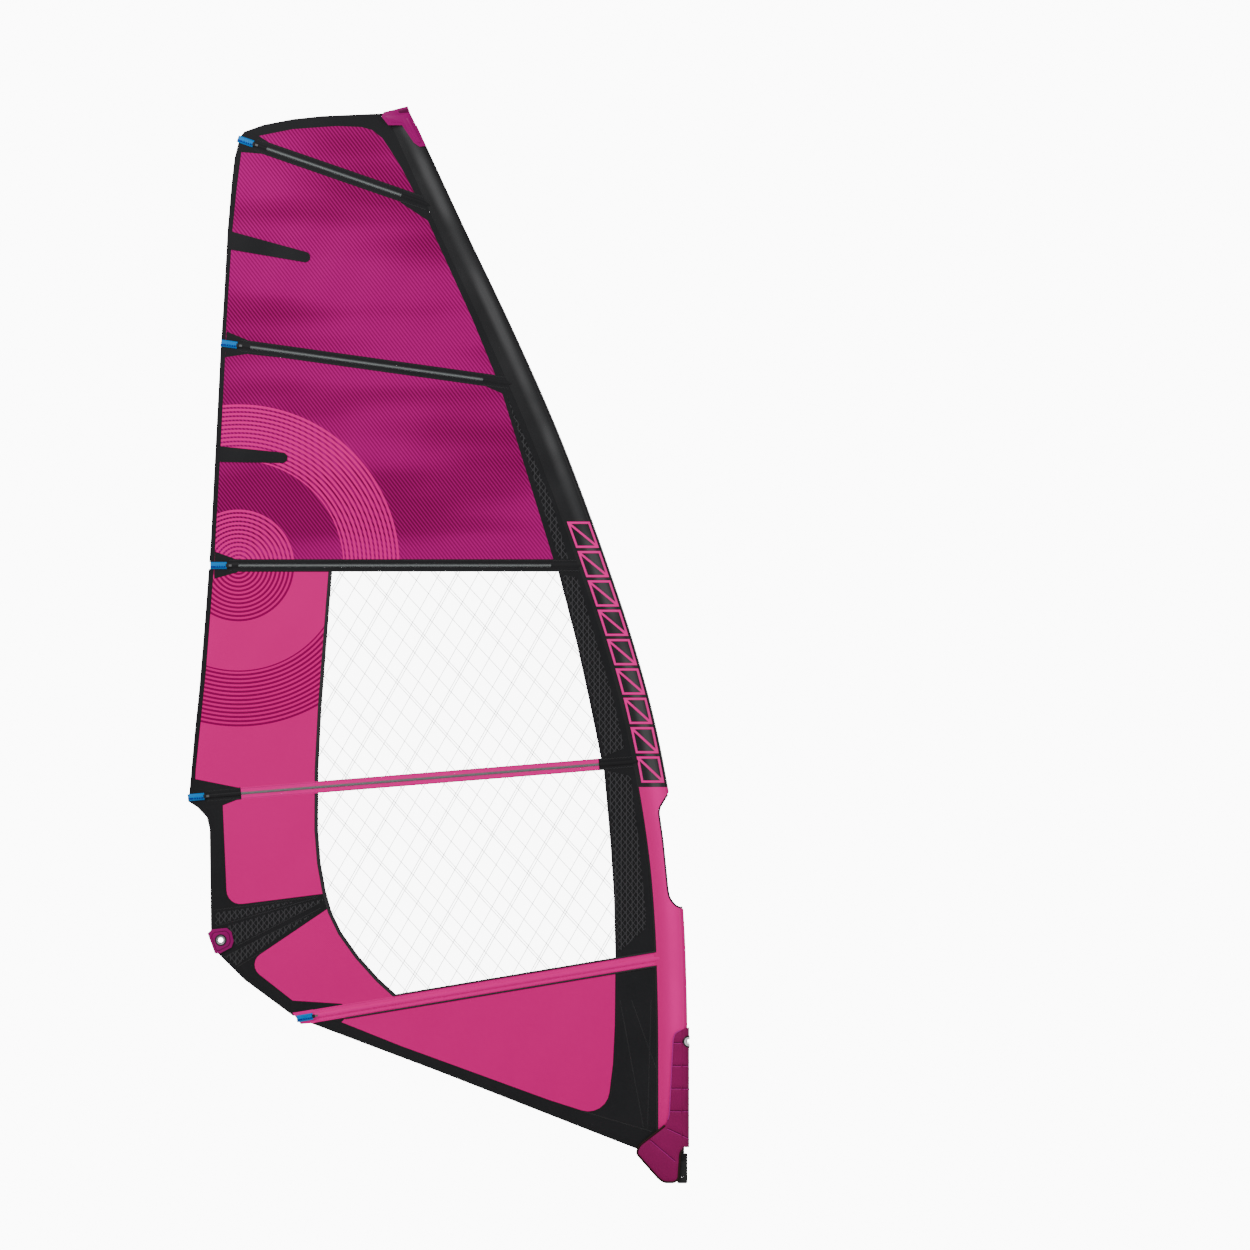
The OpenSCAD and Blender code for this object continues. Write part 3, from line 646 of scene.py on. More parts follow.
def sleeve_half(z, inset, tail, tail_half):
    """Half of the sleeve's level section: an arc round the nose, then a soft side to the seam."""
    chord = luff_value(z, 2)
    radius = NOSE_RADIUS - (LUFF[0][2] - chord) / 5
    side = radius - inset
    points = []
    for k in range(ARC_STEPS + 1):
        angle = math.radians(NOSE_END * k / ARC_STEPS)
        points.append((radius - side * math.cos(angle), side * math.sin(angle)))
    start, end = points[-1], (chord - tail + OVERLAP, tail_half)
    for k in range(1, SIDE_STEPS + 1):
        t = k / SIDE_STEPS
        hollow = HOLLOW * math.sin(math.pi * t) * math.sin(17 * z + 2 * math.sin(5 * z))
        across = start[1] + (end[1] - start[1]) * t + hollow
        points.append((start[0] + (end[0] - start[0]) * t, across))
    return points


def sleeve_ring(z, inset, tail, tail_half):
    """The whole section at one height, from the seam round the nose and back."""
    half = sleeve_half(z, inset, tail, tail_half)
    front = luff_value(z, 1)
    port = [(front - back, across, z) for back, across in reversed(half)]
    starboard = [(front - back, -across, z) for back, across in half[1:]]
    return port + starboard


def sleeve_mesh(z_low, z_high):
    """A closed wall of cloth round the mast channel. UV: distance behind the luff, and height."""
    mesh = bmesh.new()
    rows = round((z_high - z_low) / ROW)
    skins = []
    heights = [z_low + (z_high - z_low) * k / rows for k in range(rows + 1)]
    for inset, tail, tail_half in ((0, 0, SEAM_HALF), (WALL, 0.016, 0.0005)):
        skins.append([[mesh.verts.new(p) for p in sleeve_ring(z, inset, tail, tail_half)]
                      for z in heights])
    outer, inner = skins
    count = len(outer[0])
    for k in range(rows):
        for i in range(count - 1):
            mesh.faces.new((outer[k][i], outer[k][i + 1], outer[k + 1][i + 1], outer[k + 1][i]))
            mesh.faces.new((inner[k][i], inner[k + 1][i], inner[k + 1][i + 1], inner[k][i + 1]))
        mesh.faces.new((outer[k][0], outer[k + 1][0], outer[k + 1][-1], outer[k][-1]))
        mesh.faces.new((inner[k][0], inner[k][-1], inner[k + 1][-1], inner[k + 1][0]))
    for k, flip in ((0, False), (rows, True)):
        for i in range(count):
            j = (i + 1) % count
            corners = [outer[k][i], inner[k][i], inner[k][j], outer[k][j]]
            mesh.faces.new(corners[::-1] if flip else corners)
    face_out(mesh)
    layer = mesh.loops.layers.uv.new("UVMap")
    for face in mesh.faces:
        for loop in face.loops:
            x, _, z = loop.vert.co
            loop[layer].uv = (luff_value(z, 1) - x, z)
    return mesh


def cut_with(piece, outline):
    """Cuts an outline, given from the side, right through a piece."""
    tool = bmesh.new()
    prism(tool, outline, -0.2, 0.2)
    face_out(tool)
    built = bpy.data.meshes.new("cutter")
    tool.to_mesh(built)
    tool.free()
    cutter = new_object("cutter", built)
    change = piece.modifiers.new("cut", "BOOLEAN")
    change.operation = "DIFFERENCE"
    change.object = cutter
    change.solver = "EXACT"
    bake(piece)
    bpy.data.objects.remove(cutter)


def soft_corners(points, size):
    """Rounds the corners of a closed outline."""
    result = []
    for i, point in enumerate(points):
        corner = Vector(point)
        before = Vector(points[i - 1]) - corner
        after = Vector(points[(i + 1) % len(points)]) - corner
        reach = min(size, before.length * 0.45, after.length * 0.45)
        start = corner + before.normalized() * reach
        end = corner + after.normalized() * reach
        for k in range(CORNER_STEPS + 1):
            t = k / CORNER_STEPS
            result.append(tuple(start * (1 - t) ** 2 + corner * 2 * t * (1 - t) + end * t ** 2))
    return result


BOOM_CUT = (    # the open side lies in front of the sleeve
    (0.060, 1.505), (-0.050, 1.505), (-0.091, 1.437), (-0.074, 1.321), (-0.054, 1.123),
    (-0.047, 1.094), (-0.023, 1.066), (0.003, 1.057), (0.060, 1.057),
)
HEAD_CAP = (
    (-1.056, 4.146), (-1.047, 4.120), (-0.990, 4.005), (-0.986, 3.992), (-1.010, 3.989),
    (-1.033, 4.005), (-1.078, 4.072), (-1.131, 4.072), (-1.157, 4.105), (-1.149, 4.123),
    (-1.103, 4.134),
)
SLEEVES = (     # node, lower end, upper end, material slot
    ("sleeve_head", 3.224, 4.072, "black_cloth"), ("sleeve_upper", 2.375, 3.224, "black_cloth"),
    ("sleeve_middle", 1.540, 2.375, "black_cloth"), ("sleeve_foot", 0.140, 1.540, "pink_cloth"),
)


def add_sleeves():
    for node, low, high, slot in SLEEVES:
        mesh = sleeve_mesh(low, high)
        piece = add_piece(node + "_cloth", mesh, "sleeve_cloth", "sail", (node,))
        if node == "sleeve_head":
            cut_with(piece, HEAD_CAP)
        if node == "sleeve_foot":
            cut_with(piece, BOOM_CUT)


# ---- Batten pockets: s runs along the batten from its leech end, a across it ----

MARGIN = 0.0011             # half thickness of a pocket's flat margins
EDGE_THINNER = 0.0004       # and how much less it is at the pocket's edge
ROD_SKIN = 0.0003           # the crown stands this far off the rod
TUBE_SKIN = 0.0035          # the crowned strip is this much wider than the rod on each side
POCKET_ROW = 0.03
EDGE_OUT = 0.003            # the tape's middle line lies this far outside pocket 5
EDGE_RADIUS = 0.0038
LUFF_GAP = 0.012            # tape and stitches end this far before the sleeve
CLEAR_ZONES = (     # where the rod shows: from, to
    (0.118, 0.667), (0.114, 1.019), (0.109, 1.313), (0.206, 1.588), None,
)
POCKET_LOOKS = (    # cloth of the leech end, the middle and the luff end
    ("black_cloth",) * 3, ("black_cloth",) * 3, ("black_cloth",) * 3,
    ("black_cloth", "pink_cloth", "black_cloth"), ("pink_cloth",) * 3,
)
HOUSING = 0.064             # a pocket's cloth starts here, next to the tensioner's housing


def on_batten(i, s, a):
    """A point near a batten, in the row frame."""
    x0, z0, slope = BATTENS[i][:3]
    angle = math.radians(slope)
    return Vector((x0 + s * math.cos(angle) - a * math.sin(angle), 0,
                   z0 + s * math.sin(angle) + a * math.cos(angle)))


def batten_length(i):
    """From the leech end to the sleeve's seam, along the axis."""
    x0, _, slope = BATTENS[i][:3]
    x = x0
    for _ in range(12):     # steps close in on the point where the axis meets the seam
        x = seam_x(batten_z(i, x))
    return (x - x0) / math.cos(math.radians(slope)) + 0.014


def crown(i, a):
    """Half thickness of a pocket at distance a from its axis."""
    radius, width = BATTENS[i][3:]
    reach = radius + TUBE_SKIN
    share = min(1.0, abs(a) / reach)
    flat = MARGIN - EDGE_THINNER * abs(a) / (width / 2)
    return flat + (radius + ROD_SKIN) * math.sqrt(max(0.0, 1 - share ** 2))


def pocket_mesh(i, s_low, s_high, a_low, a_high, columns, crowned=True):
    """A closed strip over the batten's axis, crowned where the rod runs."""
    rows = max(1, round((s_high - s_low) / POCKET_ROW))
    mesh = bmesh.new()
    faces = []
    for side in SIDES:
        grid = []
        for k in range(rows + 1):
            s = s_low + (s_high - s_low) * k / rows
            line = []
            for n in range(columns + 1):
                a = a_low + (a_high - a_low) * n / columns
                point = on_batten(i, s, a)
                point.y = side * (crown(i, a) if crowned else MARGIN)
                point.y += billow(point.x, point.z)
                line.append(mesh.verts.new(point))
            grid.append(line)
        faces.append(grid)
    front, back = faces
    for k in range(rows):
        for n in range(columns):
            mesh.faces.new((front[k][n], front[k + 1][n], front[k + 1][n + 1], front[k][n + 1]))
            mesh.faces.new((back[k][n], back[k][n + 1], back[k + 1][n + 1], back[k + 1][n]))
    rim = [(k, 0) for k in range(rows)] + [(rows, n) for n in range(columns)]
    rim += [(k, columns) for k in range(rows, 0, -1)] + [(0, n) for n in range(columns, 0, -1)]
    for m, (k, n) in enumerate(rim):
        k2, n2 = rim[(m + 1) % len(rim)]
        mesh.faces.new((front[k][n], front[k2][n2], back[k2][n2], back[k][n]))
    face_out(mesh)
    return mesh


def join_meshes(meshes):
    """Joins several meshes into a new one."""
    whole = bmesh.new()
    for mesh in meshes:
        part = bpy.data.meshes.new("part")
        mesh.to_mesh(part)
        mesh.free()
        whole.from_mesh(part)
        bpy.data.meshes.remove(part)
    return whole


def add_pocket(i):
    number = i + 1
    radius, width = BATTENS[i][3:]
    half = width / 2
    length = batten_length(i)
    leech_look, middle_look, luff_look = POCKET_LOOKS[i]
    node = f"batten_pocket_{number}"
    zone = CLEAR_ZONES[i]
    if zone is None:
        mesh = pocket_mesh(i, HOUSING, length, -half, half, 16)
        piece = add_piece(f"pocket_{number}_cloth", mesh, middle_look, "sail", (node,))
        return
    low, high = zone
    tube = radius + TUBE_SKIN
    inner = radius - 0.0004
    margins = join_meshes([
        pocket_mesh(i, low, high, -half, -inner, 3, crowned=False),
        pocket_mesh(i, low, high, inner, half, 3, crowned=False)])
    piece = add_piece(f"pocket_{number}_margins", margins, middle_look, "sail", (node,))
    clear = pocket_mesh(i, low, high, -tube, tube, 10)
    add_piece(f"pocket_{number}_window", clear, "clear_pocket", "sail")
    for end, s_low, s_high, look in (("leech", HOUSING, low, leech_look),
                                     ("luff", high, length, luff_look)):
        mesh = pocket_mesh(i, s_low, s_high, -half, half, 16)
        piece = add_piece(f"pocket_{number}_{end}_end", mesh, look, "sail")


def add_pocket_edges():
    """Black tape along the two edges of the pink pocket of batten 5."""
    length = batten_length(4)
    half = BATTENS[4][4] / 2 + EDGE_OUT
    starts = (("upper", 0.385, half), ("lower", 0.185, -half))
    for label, start, a in starts:
        points = []
        for k in range(25):
            point = on_batten(4, start + (length - LUFF_GAP - start) * k / 24, a)
            point.y = billow(point.x, point.z)
            points.append(point)
        add_tube(f"pocket_5_edge_{label}", points, EDGE_RADIUS, "tape")


# ---- Patches and stitching on the cloth ----

PATCH_HALF = 0.0009     # half thickness of a patch, which goes round both faces


def add_patch(name, outlines, material):
    """Thin cloth round both faces of the sail, cut to outlines given from the side."""
    mesh = bmesh.new()
    for outline in outlines:
        prism(mesh, outline, -PATCH_HALF, PATCH_HALF)
    face_out(mesh)
    area = sum(face.calc_area() for face in mesh.faces if abs(face.normal.y) > 0.9) / 2
    cut_grid(mesh)
    bend(mesh)
    piece = add_piece(name, mesh, material, "sail")


def dash(mesh, start, end, height):
    """A raised stitch between two points, on both faces of the cloth."""
    run = (end - start).normalized()
    across = Vector((-run.z, 0, run.x)) * STITCH_WIDTH / 2
    for side in SIDES:
        lift = Vector((0, side * height, 0))
        base = Vector((0, side * height * 0.5, 0))
        corners = [start - across, start + across, end + across, end - across]
        low = [mesh.verts.new(p + base) for p in corners]
        top = [mesh.verts.new(p + lift) for p in (start * 0.75 + end * 0.25,
                                                   start * 0.25 + end * 0.75)]
        mesh.faces.new((low[0], low[1], low[2], low[3]))
        mesh.faces.new((low[0], top[0], low[1]))
        mesh.faces.new((low[3], low[2], top[1]))
        mesh.faces.new((low[1], top[0], top[1], low[2]))
        mesh.faces.new((low[0], low[3], top[1], top[0]))


def along_line(points, spacing):
    """Points at an even spacing along a line of corners."""
    result = []
    carry = 0.0
    for start, end in zip(points, points[1:]):
        length = (end - start).length
        while carry <= length:
            result.append(start + (end - start) * (carry / length))
            carry += spacing
        carry -= length
    return result


STITCH_WIDTH = 0.0011
STITCH_STEP = 0.006
STITCH_RISE = 0.0006    # how far a stitch stands off its cloth
ZIGZAG = 0.0035         # from side to side


def add_stitches(name, lines, material, half):
    """Zigzag stitching along lines given from the side, on both faces of the cloth.

    half is the cloth's half thickness.
    """
    mesh = bmesh.new()
    for line in lines:
        corners = [Vector((x, 0, z)) for x, z in line]
        places = along_line(corners, STITCH_STEP)
        for k in range(len(places) - 1):
            run = (places[k + 1] - places[k]).normalized()
            across = Vector((-run.z, 0, run.x)) * ZIGZAG / 2 * (1 if k % 2 else -1)
            start = places[k] + across
            end = places[k + 1] - across
            for point in (start, end):
                point.y = billow(point.x, point.z)
            dash(mesh, start, end, half + STITCH_RISE)
    face_out(mesh)
    add_piece(name, mesh, material, "sail")


# ---- Hard parts ----

def soften(piece, width, segments):
    """Rounds the edges of a hard part."""
    change = piece.modifiers.new("round", "BEVEL")
    change.width = width
    change.segments = segments
    change.limit_method = "ANGLE"
    change.angle_limit = math.radians(30)
    change.use_clamp_overlap = True
    bake(piece)
    shade_smooth(piece.data)


def add_moulding(node, material, edge, body="sail", segments=3):
    """The CAD shape of a node with its edges rounded."""
    piece = add_piece(node + "_moulding", cad_copy(node), material, body, (node,))
    soften(piece, edge, segments)


def add_slab(name, outline, half, material, edge, core=None):
    """A flat raised panel on both faces of a part, with its inner part left open up to core."""
    mesh = bmesh.new()
    for low, high in ((-half, half),) if core is None else ((-half, -core), (core, half)):
        prism(mesh, outline, low, high)
    face_out(mesh)
    piece = add_piece(name, mesh, material, "sail")
    soften(piece, edge, 2)
    return piece


def add_tube(name, points, radius, material, body="sail", closed=False):
    """A round bead along a smooth line of points."""
    data = bpy.data.curves.new(name, "CURVE")
    data.dimensions = "3D"
    data.bevel_depth = radius
    data.bevel_resolution = 3
    data.use_fill_caps = not closed
    spline = data.splines.new("POLY")
    spline.points.add(len(points) - 1)
    for point, place in zip(spline.points, points):
        point.co = (*place, 1)
    spline.use_cyclic_u = closed
    guide = new_object(name + "_guide", data)
    mesh = evaluated(guide)
    bpy.data.objects.remove(guide)
    mesh.materials.clear()
    add_piece(name, mesh, material, body, smooth_angle=60)


def capsule(start, end, radius):
    """An outline with round ends round a line, given from the side."""
    start, end = Vector(start), Vector(end)
    heading = math.atan2(end.y - start.y, end.x - start.x)
    points = []
    for centre, turn in ((end, -90), (start, 90)):
        for k in range(CAPSULE_STEPS + 1):
            angle = heading + math.radians(turn + 180 * k / CAPSULE_STEPS)
            points.append((centre.x + radius * math.cos(angle),
                           centre.y + radius * math.sin(angle)))
    return points


def add_head_cap():
    add_moulding("head_cap", "plum_plastic", 0.009, segments=4)
    face = 0.023
    panel = soft_corners((
        (-1.147, 4.107), (-1.100, 4.121), (-1.086, 4.112), (-1.050, 4.116), (-0.998, 4.003),
        (-1.026, 4.005), (-1.074, 4.083), (-1.126, 4.083)), 0.012)
    add_slab("head_cap_panel", panel, face + 0.0018, "plum_plastic", 0.0016)
    ridge = capsule((-1.055, 4.095), (-1.013, 4.011), 0.0065)
    add_slab("head_cap_ridge", ridge, face + 0.0042, "plum_plastic", 0.0022)
    tab = soft_corners(((-1.094, 4.128), (-1.058, 4.137), (-1.051, 4.121), (-1.088, 4.118)), 0.004)
    add_slab("head_cap_tab", tab, face + 0.0006, "plum_dark", 0.0005)


SEAL = (0.0198, 0.0078, 0.0024)     # the black ring: radius, distance from the middle, thickness
PATCH_HOLE = 0.0122


def add_clew():
    add_moulding("clew_patch", "plum_plastic", 0.0022)
    panel = soft_corners((
        (-1.812, 0.950), (-1.804, 0.964), (-1.757, 0.970), (-1.744, 0.960), (-1.739, 0.930),
        (-1.745, 0.914), (-1.783, 0.895), (-1.793, 0.896)), 0.012)
    hole = (CLEW.x, CLEW.z)
    piece = add_slab("clew_patch_panel", panel, 0.0073, "plum_plastic", 0.001)
    cut_with(piece, circle(hole, PATCH_HOLE, 32))
    add_moulding("clew_ring", "steel", 0.0009)
    radius, off, thickness = SEAL
    for side, label in SIDES.items():
        seal = [(x, side * off, z) for x, z in circle(hole, radius, 48)]
        add_tube("clew_seal_" + label, seal, thickness, "black_plastic", closed=True)
        # a dark tube round the panel: painted shade in the groove round it
        frame_line = [(x, side * 0.0071, z) for x, z in panel]
        add_tube("clew_groove_shade_" + label, frame_line, 0.0011, "plum_dark",
                 closed=True)


HOUSING_BORE = 0.0068    # the cup of the batten slides inside this half width
TENSIONER_SLABS = (     # name, start and end along the batten, edges across it, taper at the end,
                        # half depth, look, material slot, rounding
    # the lower facet is a darker blue slab: painted shade on the side turned away from the light
    ("facet_{}", 0.003, 0.059, -0.0084, -0.002, 0, 0.0090,
     "painted_shade_blue_plastic", "blue_plastic", 0.0003),
    ("tip_{}", 0.060, 0.072, -0.0075, 0.0075, 0.001, 0.0088,
     "black_plastic", "black_plastic", 0.0006),
    ("plug_{}", 0.070, 0.083, -0.004, 0.004, 0, 0.0083,
     "grey_plastic", "black_plastic", 0.0005),
    *((f"rib_{{}}_{k + 1}", 0.022 + 0.009 * k, 0.0252 + 0.009 * k, -0.0065, 0.0065, 0, 0.0094,
       "blue_plastic", "blue_plastic", 0.0006) for k in range(4)),
)


def add_tensioners():
    for i in range(len(BATTENS)):
        number = i + 1
        add_moulding(f"tensioner_housing_{number}", "blue_plastic", 0.0012)
        for name, start, end, low, high, taper, half, look, slot, edge in TENSIONER_SLABS:
            corners = [on_batten(i, s, a) for s, a in (
                (start, low), (end, low + taper), (end, high - taper), (start, high))]
            add_slab("tensioner_" + name.format(number), [(p.x, p.z) for p in corners], half,
                     look, edge, HOUSING_BORE)


# ---- Tack fairing: padded, with sewn channels ----

CUT_STEP = 0.006    # spacing of the fairing's grid and of the points along its seams
FAIRING_EDGE = (    # from the front of the top edge, down the back and round to the front again
    (0.028, 0.599), (0.023, 0.599), (-0.025, 0.579), (-0.034, 0.553), (-0.049, 0.256),
    (-0.065, 0.221), (-0.162, 0.146), (-0.173, 0.124), (-0.173, 0.111), (-0.091, 0.018),
    (-0.069, 0.002), (-0.029, 0.002), (-0.014, 0.015), (-0.007, 0.115), (0.006, 0.137),
    (0.028, 0.137),
)
CHANNELS = (    # sewn lines across the fairing: back end and front end
    ((-0.034, 0.541), (0.028, 0.541)), ((-0.038, 0.453), (0.028, 0.453)),
    ((-0.043, 0.365), (0.028, 0.365)), ((-0.047, 0.278), (0.028, 0.278)),
    ((-0.058, 0.212), (0.028, 0.172)), ((-0.122, 0.166), (-0.027, 0.086)),
)
PAD_NOSE = 0.028        # radius of the nose
NOSE_START = -0.0058    # the sides begin behind this x
SIDE_HALF = 0.0274      # and are this far from the middle there
SIDE_SLOPE = 0.1165     # they close up by this much for each metre back
FOLD = Vector((-0.001, -0.0268))    # the fold the starboard flap opens on
PAD_DEPTH = 0.0036
FOLD_GAP = 0.0025       # seams stop this far from the fold on both sides of it
HIGHLIGHT_BEAD_DROP = 0.0042      # the painted highlight bead runs this far below its seam
SHORTEST_SEAM = 0.004


def distance_to(point, start, end):
    start, end = Vector(start), Vector(end)
    run = end - start
    t = max(0.0, min(1.0, (point - start).dot(run) / run.length_squared))
    return (point - start - run * t).length


def fairing_side(x):
    """Half the fairing's width over its outer faces."""
    if x > NOSE_START:
        return math.sqrt(max(0.0, PAD_NOSE ** 2 - x ** 2))
    return SIDE_HALF + (x - NOSE_START) * SIDE_SLOPE


def padding(x, z):
    """1 in the middle of a pad, and 0 on a sewn line or at the edge."""
    point = Vector((x, z))
    line = min(distance_to(point, *channel) for channel in CHANNELS)
    rim = min(distance_to(point, a, b) for a, b in zip(FAIRING_EDGE, FAIRING_EDGE[1:]))
    return smooth(line, 0.0008, 0.013) * smooth(rim, -0.002, 0.014)


def pad_depth(x):
    """How deep a sewn line lies in the padding, with none at the nose."""
    return PAD_DEPTH * (1 - smooth(x, 0.006, 0.022))


def add_fairing_half(node, body):
    mesh = cad_copy(node)
    cut_grid(mesh, CUT_STEP)
    for vert in mesh.verts:
        x, y, z = vert.co
        outward = Vector((max(0.0, x), y, 0))
        reach = math.hypot(x, y) if x > 0 else abs(y)
        outer = reach > (PAD_NOSE if x > 0 else fairing_side(x)) - 0.0025
        if outer and outward.length > 0.002:
            vert.co -= outward.normalized() * pad_depth(x) * (1 - padding(x, z))
    piece = add_piece(node + "_pad", mesh, "plum_padding", body, (node,))


def on_fairing(points, side, rise):
    """A line from the side, laid in the fairing's outer face."""
    line = along_line([Vector((x, 0, z)) for x, z in points], CUT_STEP)
    last = points[-1]
    line.append(Vector((last[0], 0, last[1])))
    for point in line:
        lift = rise - pad_depth(point.x)
        point.y = side * fairing_side(point.x)
        if point.x > 0:
            point.x *= 1 + lift / PAD_NOSE
            point.y *= 1 + lift / PAD_NOSE
        else:
            point.y += side * lift
    return line


def part_of(shaded_seam, low, high):
    """The part of a straight seam between two values of x."""
    (x0, z0), (x1, z1) = shaded_seam
    slope = (z1 - z0) / (x1 - x0)
    ends = max(low, x0), min(high, x1)
    return tuple((x, z0 + slope * (x - x0)) for x in ends)


def add_fairing():
    add_fairing_half("fairing_port", "sail")
    add_fairing_half("fairing_starboard", "fairing_flap")
    fold = [Vector((FOLD.x, FOLD.y, z)) for z in (0.125, 0.25, 0.42, 0.585)]
    add_tube("fairing_fold", fold, 0.0020, "plum_padding")
    # Each corner gives five points. soft_corners rounds the two ends towards each other, as on a
    # closed outline, so the slices leave them out.
    back = soft_corners(FAIRING_EDGE[4:], 0.016)[7:-8]
    top = [(-0.003, 0.588), *soft_corners(FAIRING_EDGE[1:6], 0.014)[6:-5]]
    for side, label in SIDES.items():
        body = "fairing_flap" if side < 0 else "sail"
        lines = [("binding", back, 0.0006, 0.0040, "binding"),
                 ("piping", top, 0.0006, 0.0028, "plum_light")]
        lines = [(*line, body) for line in lines]
        for k, channel in enumerate(CHANNELS):
            for low, high, part, owner in ((-1, FOLD.x - FOLD_GAP, "", body),
                                           (FOLD.x + FOLD_GAP, 0.026, "_nose", "sail")):
                shaded_seam = part_of(channel, low, high)
                if shaded_seam[1][0] - shaded_seam[0][0] < SHORTEST_SEAM:
                    continue
                # dark seam tubes: sewn lines with painted shade in their grooves; light beads
                # below them: painted highlight on the padding
                below = [(x, z - HIGHLIGHT_BEAD_DROP) for x, z in shaded_seam]
                lines.append((f"seam_{k + 1}{part}", shaded_seam, 0.0004, 0.0013, "plum_dark", owner))
                lines.append((f"bead_{k + 1}{part}", below, 0.0010, 0.0016, "plum_light", owner))
        for name, points, rise, radius, material, owner in lines:
            add_tube(f"fairing_{name}_{label}", on_fairing(points, side, rise), radius,
                     material, owner)


# ---- Details on the cloth ----

SCRIM = (       # strips of open scrim on the black cloth
    ((-0.675, 3.031), (-0.504, 2.630), (-0.438, 2.404), (-0.475, 2.404), (-0.544, 2.630)),
    ((-0.462, 2.342), (-0.403, 2.330), (-0.263, 1.860), (-0.222, 1.674), (-0.298, 1.643),
     (-0.346, 1.860)),
    ((-0.288, 1.586), (-0.198, 1.567), (-0.167, 1.321), (-0.138, 1.028), (-0.141, 0.980),
     (-0.246, 0.885), (-0.262, 1.120), (-0.267, 1.321)),
    ((-1.795, 1.040), (-1.480, 1.086), (-1.798, 0.992)),
    ((-1.750, 0.988), (-1.480, 1.070), (-1.377, 1.094), (-1.384, 1.084), (-1.722, 0.917)),
    ((-1.759, 0.871), (-1.600, 0.955), (-1.414, 1.038), (-1.717, 0.838)),
)
WEDGES = (      # chafe patches round the leech ends of battens 1 to 4 and behind the clew patch
    ((-1.688, 4.026), (-1.629, 4.031), (-1.592, 4.007), (-1.606, 3.961), (-1.702, 3.969)),
    ((-1.753, 3.278), (-1.663, 3.241), (-1.663, 3.193), (-1.759, 3.179)),
    ((-1.798, 2.431), (-1.711, 2.399), (-1.711, 2.351), (-1.801, 2.326)),
    ((-1.885, 1.557), (-1.699, 1.520), (-1.696, 1.482), (-1.770, 1.453), (-1.880, 1.466)),
    ((-1.748, 0.899), (-1.732, 0.894), (-1.724, 0.905), (-1.731, 0.920), (-1.743, 0.916)),
)
POCKET_END = ((-1.500, 0.655), (-1.420, 0.668), (-1.412, 0.616), (-1.468, 0.611))
SEAM = (        # middle line of the window seam
    (-1.352, 2.353), (-1.373, 2.125), (-1.395, 1.826), (-1.407, 1.590), (-1.408, 1.359),
    (-1.398, 1.232), (-1.378, 1.120), (-1.356, 1.042), (-1.317, 0.961), (-1.252, 0.870),
    (-1.173, 0.782), (-1.100, 0.714),
)
TACK_SEAMS = (
    ((-0.239, 0.705), (-0.148, 0.213)), ((-0.195, 0.705), (-0.092, 0.420)),
    ((-0.119, 0.705), (-0.133, 0.204)), ((-0.386, 0.277), (-0.110, 0.196)),
)
CLEW_SEAMS = (
    ((-1.800, 1.050), (-1.400, 1.104)), ((-1.795, 0.988), (-1.400, 1.100)),
    ((-1.716, 0.912), (-1.395, 1.078)), ((-1.765, 0.868), (-1.390, 1.058)),
    ((-1.712, 0.832), (-1.600, 0.900)),
)
THREAD_ANGLES = (-47, 61)       # degrees of the two thread directions in the windows
THREAD_PITCH = 0.065
SHORTEST_THREAD = 0.01
THREAD_PAIR = 0.009             # from a thread to its double
THREAD_WIDTH = 0.0022
THREAD_ROW = 0.04               # a thread bends with the film at this spacing
THREAD_HALF = 0.0007            # half thickness, and a little more on the second direction


def rim_edges(node):
    """The outline of a flat node, as pairs of points seen from the side."""
    mesh = cad_copy(node)
    gone = [face for face in mesh.faces if face.normal.y > -0.9]
    bmesh.ops.delete(mesh, geom=gone, context="FACES")
    edges = [tuple(Vector((v.co.x, v.co.z)) for v in edge.verts)
             for edge in mesh.edges if edge.is_boundary]
    mesh.free()
    return edges


def clip_to(edges, start, direction):
    """The stretches of an endless line that lie inside an outline."""
    normal = Vector((-direction.y, direction.x))
    hits = []
    for a, b in edges:
        side_a, side_b = (a - start).dot(normal), (b - start).dot(normal)
        if (side_a > 0) != (side_b > 0):
            point = a + (b - a) * (side_a / (side_a - side_b))
            hits.append((point - start).dot(direction))
    hits.sort()
    return list(zip(hits[::2], hits[1::2]))


def ribbon(mesh, start, end, width, half):
    """A thin flat thread laid through the film, following its billow."""
    run = end - start
    across = Vector((-run.y, run.x)).normalized() * width / 2
    rows = max(1, round(run.length / THREAD_ROW))
    rings = []
    for k in range(rows + 1):
        middle = start + run * k / rows
        off = billow(middle.x, middle.y)
        rings.append([mesh.verts.new((p.x, off + y, p.y))
                      for p, y in ((middle - across, -half), (middle + across, -half),
                                   (middle + across, half), (middle - across, half))])
    for low, high in zip(rings, rings[1:]):
        for k in range(4):
            n = (k + 1) % 4
            mesh.faces.new((low[k], low[n], high[n], high[k]))
    mesh.faces.new(rings[0][::-1])
    mesh.faces.new(rings[-1])


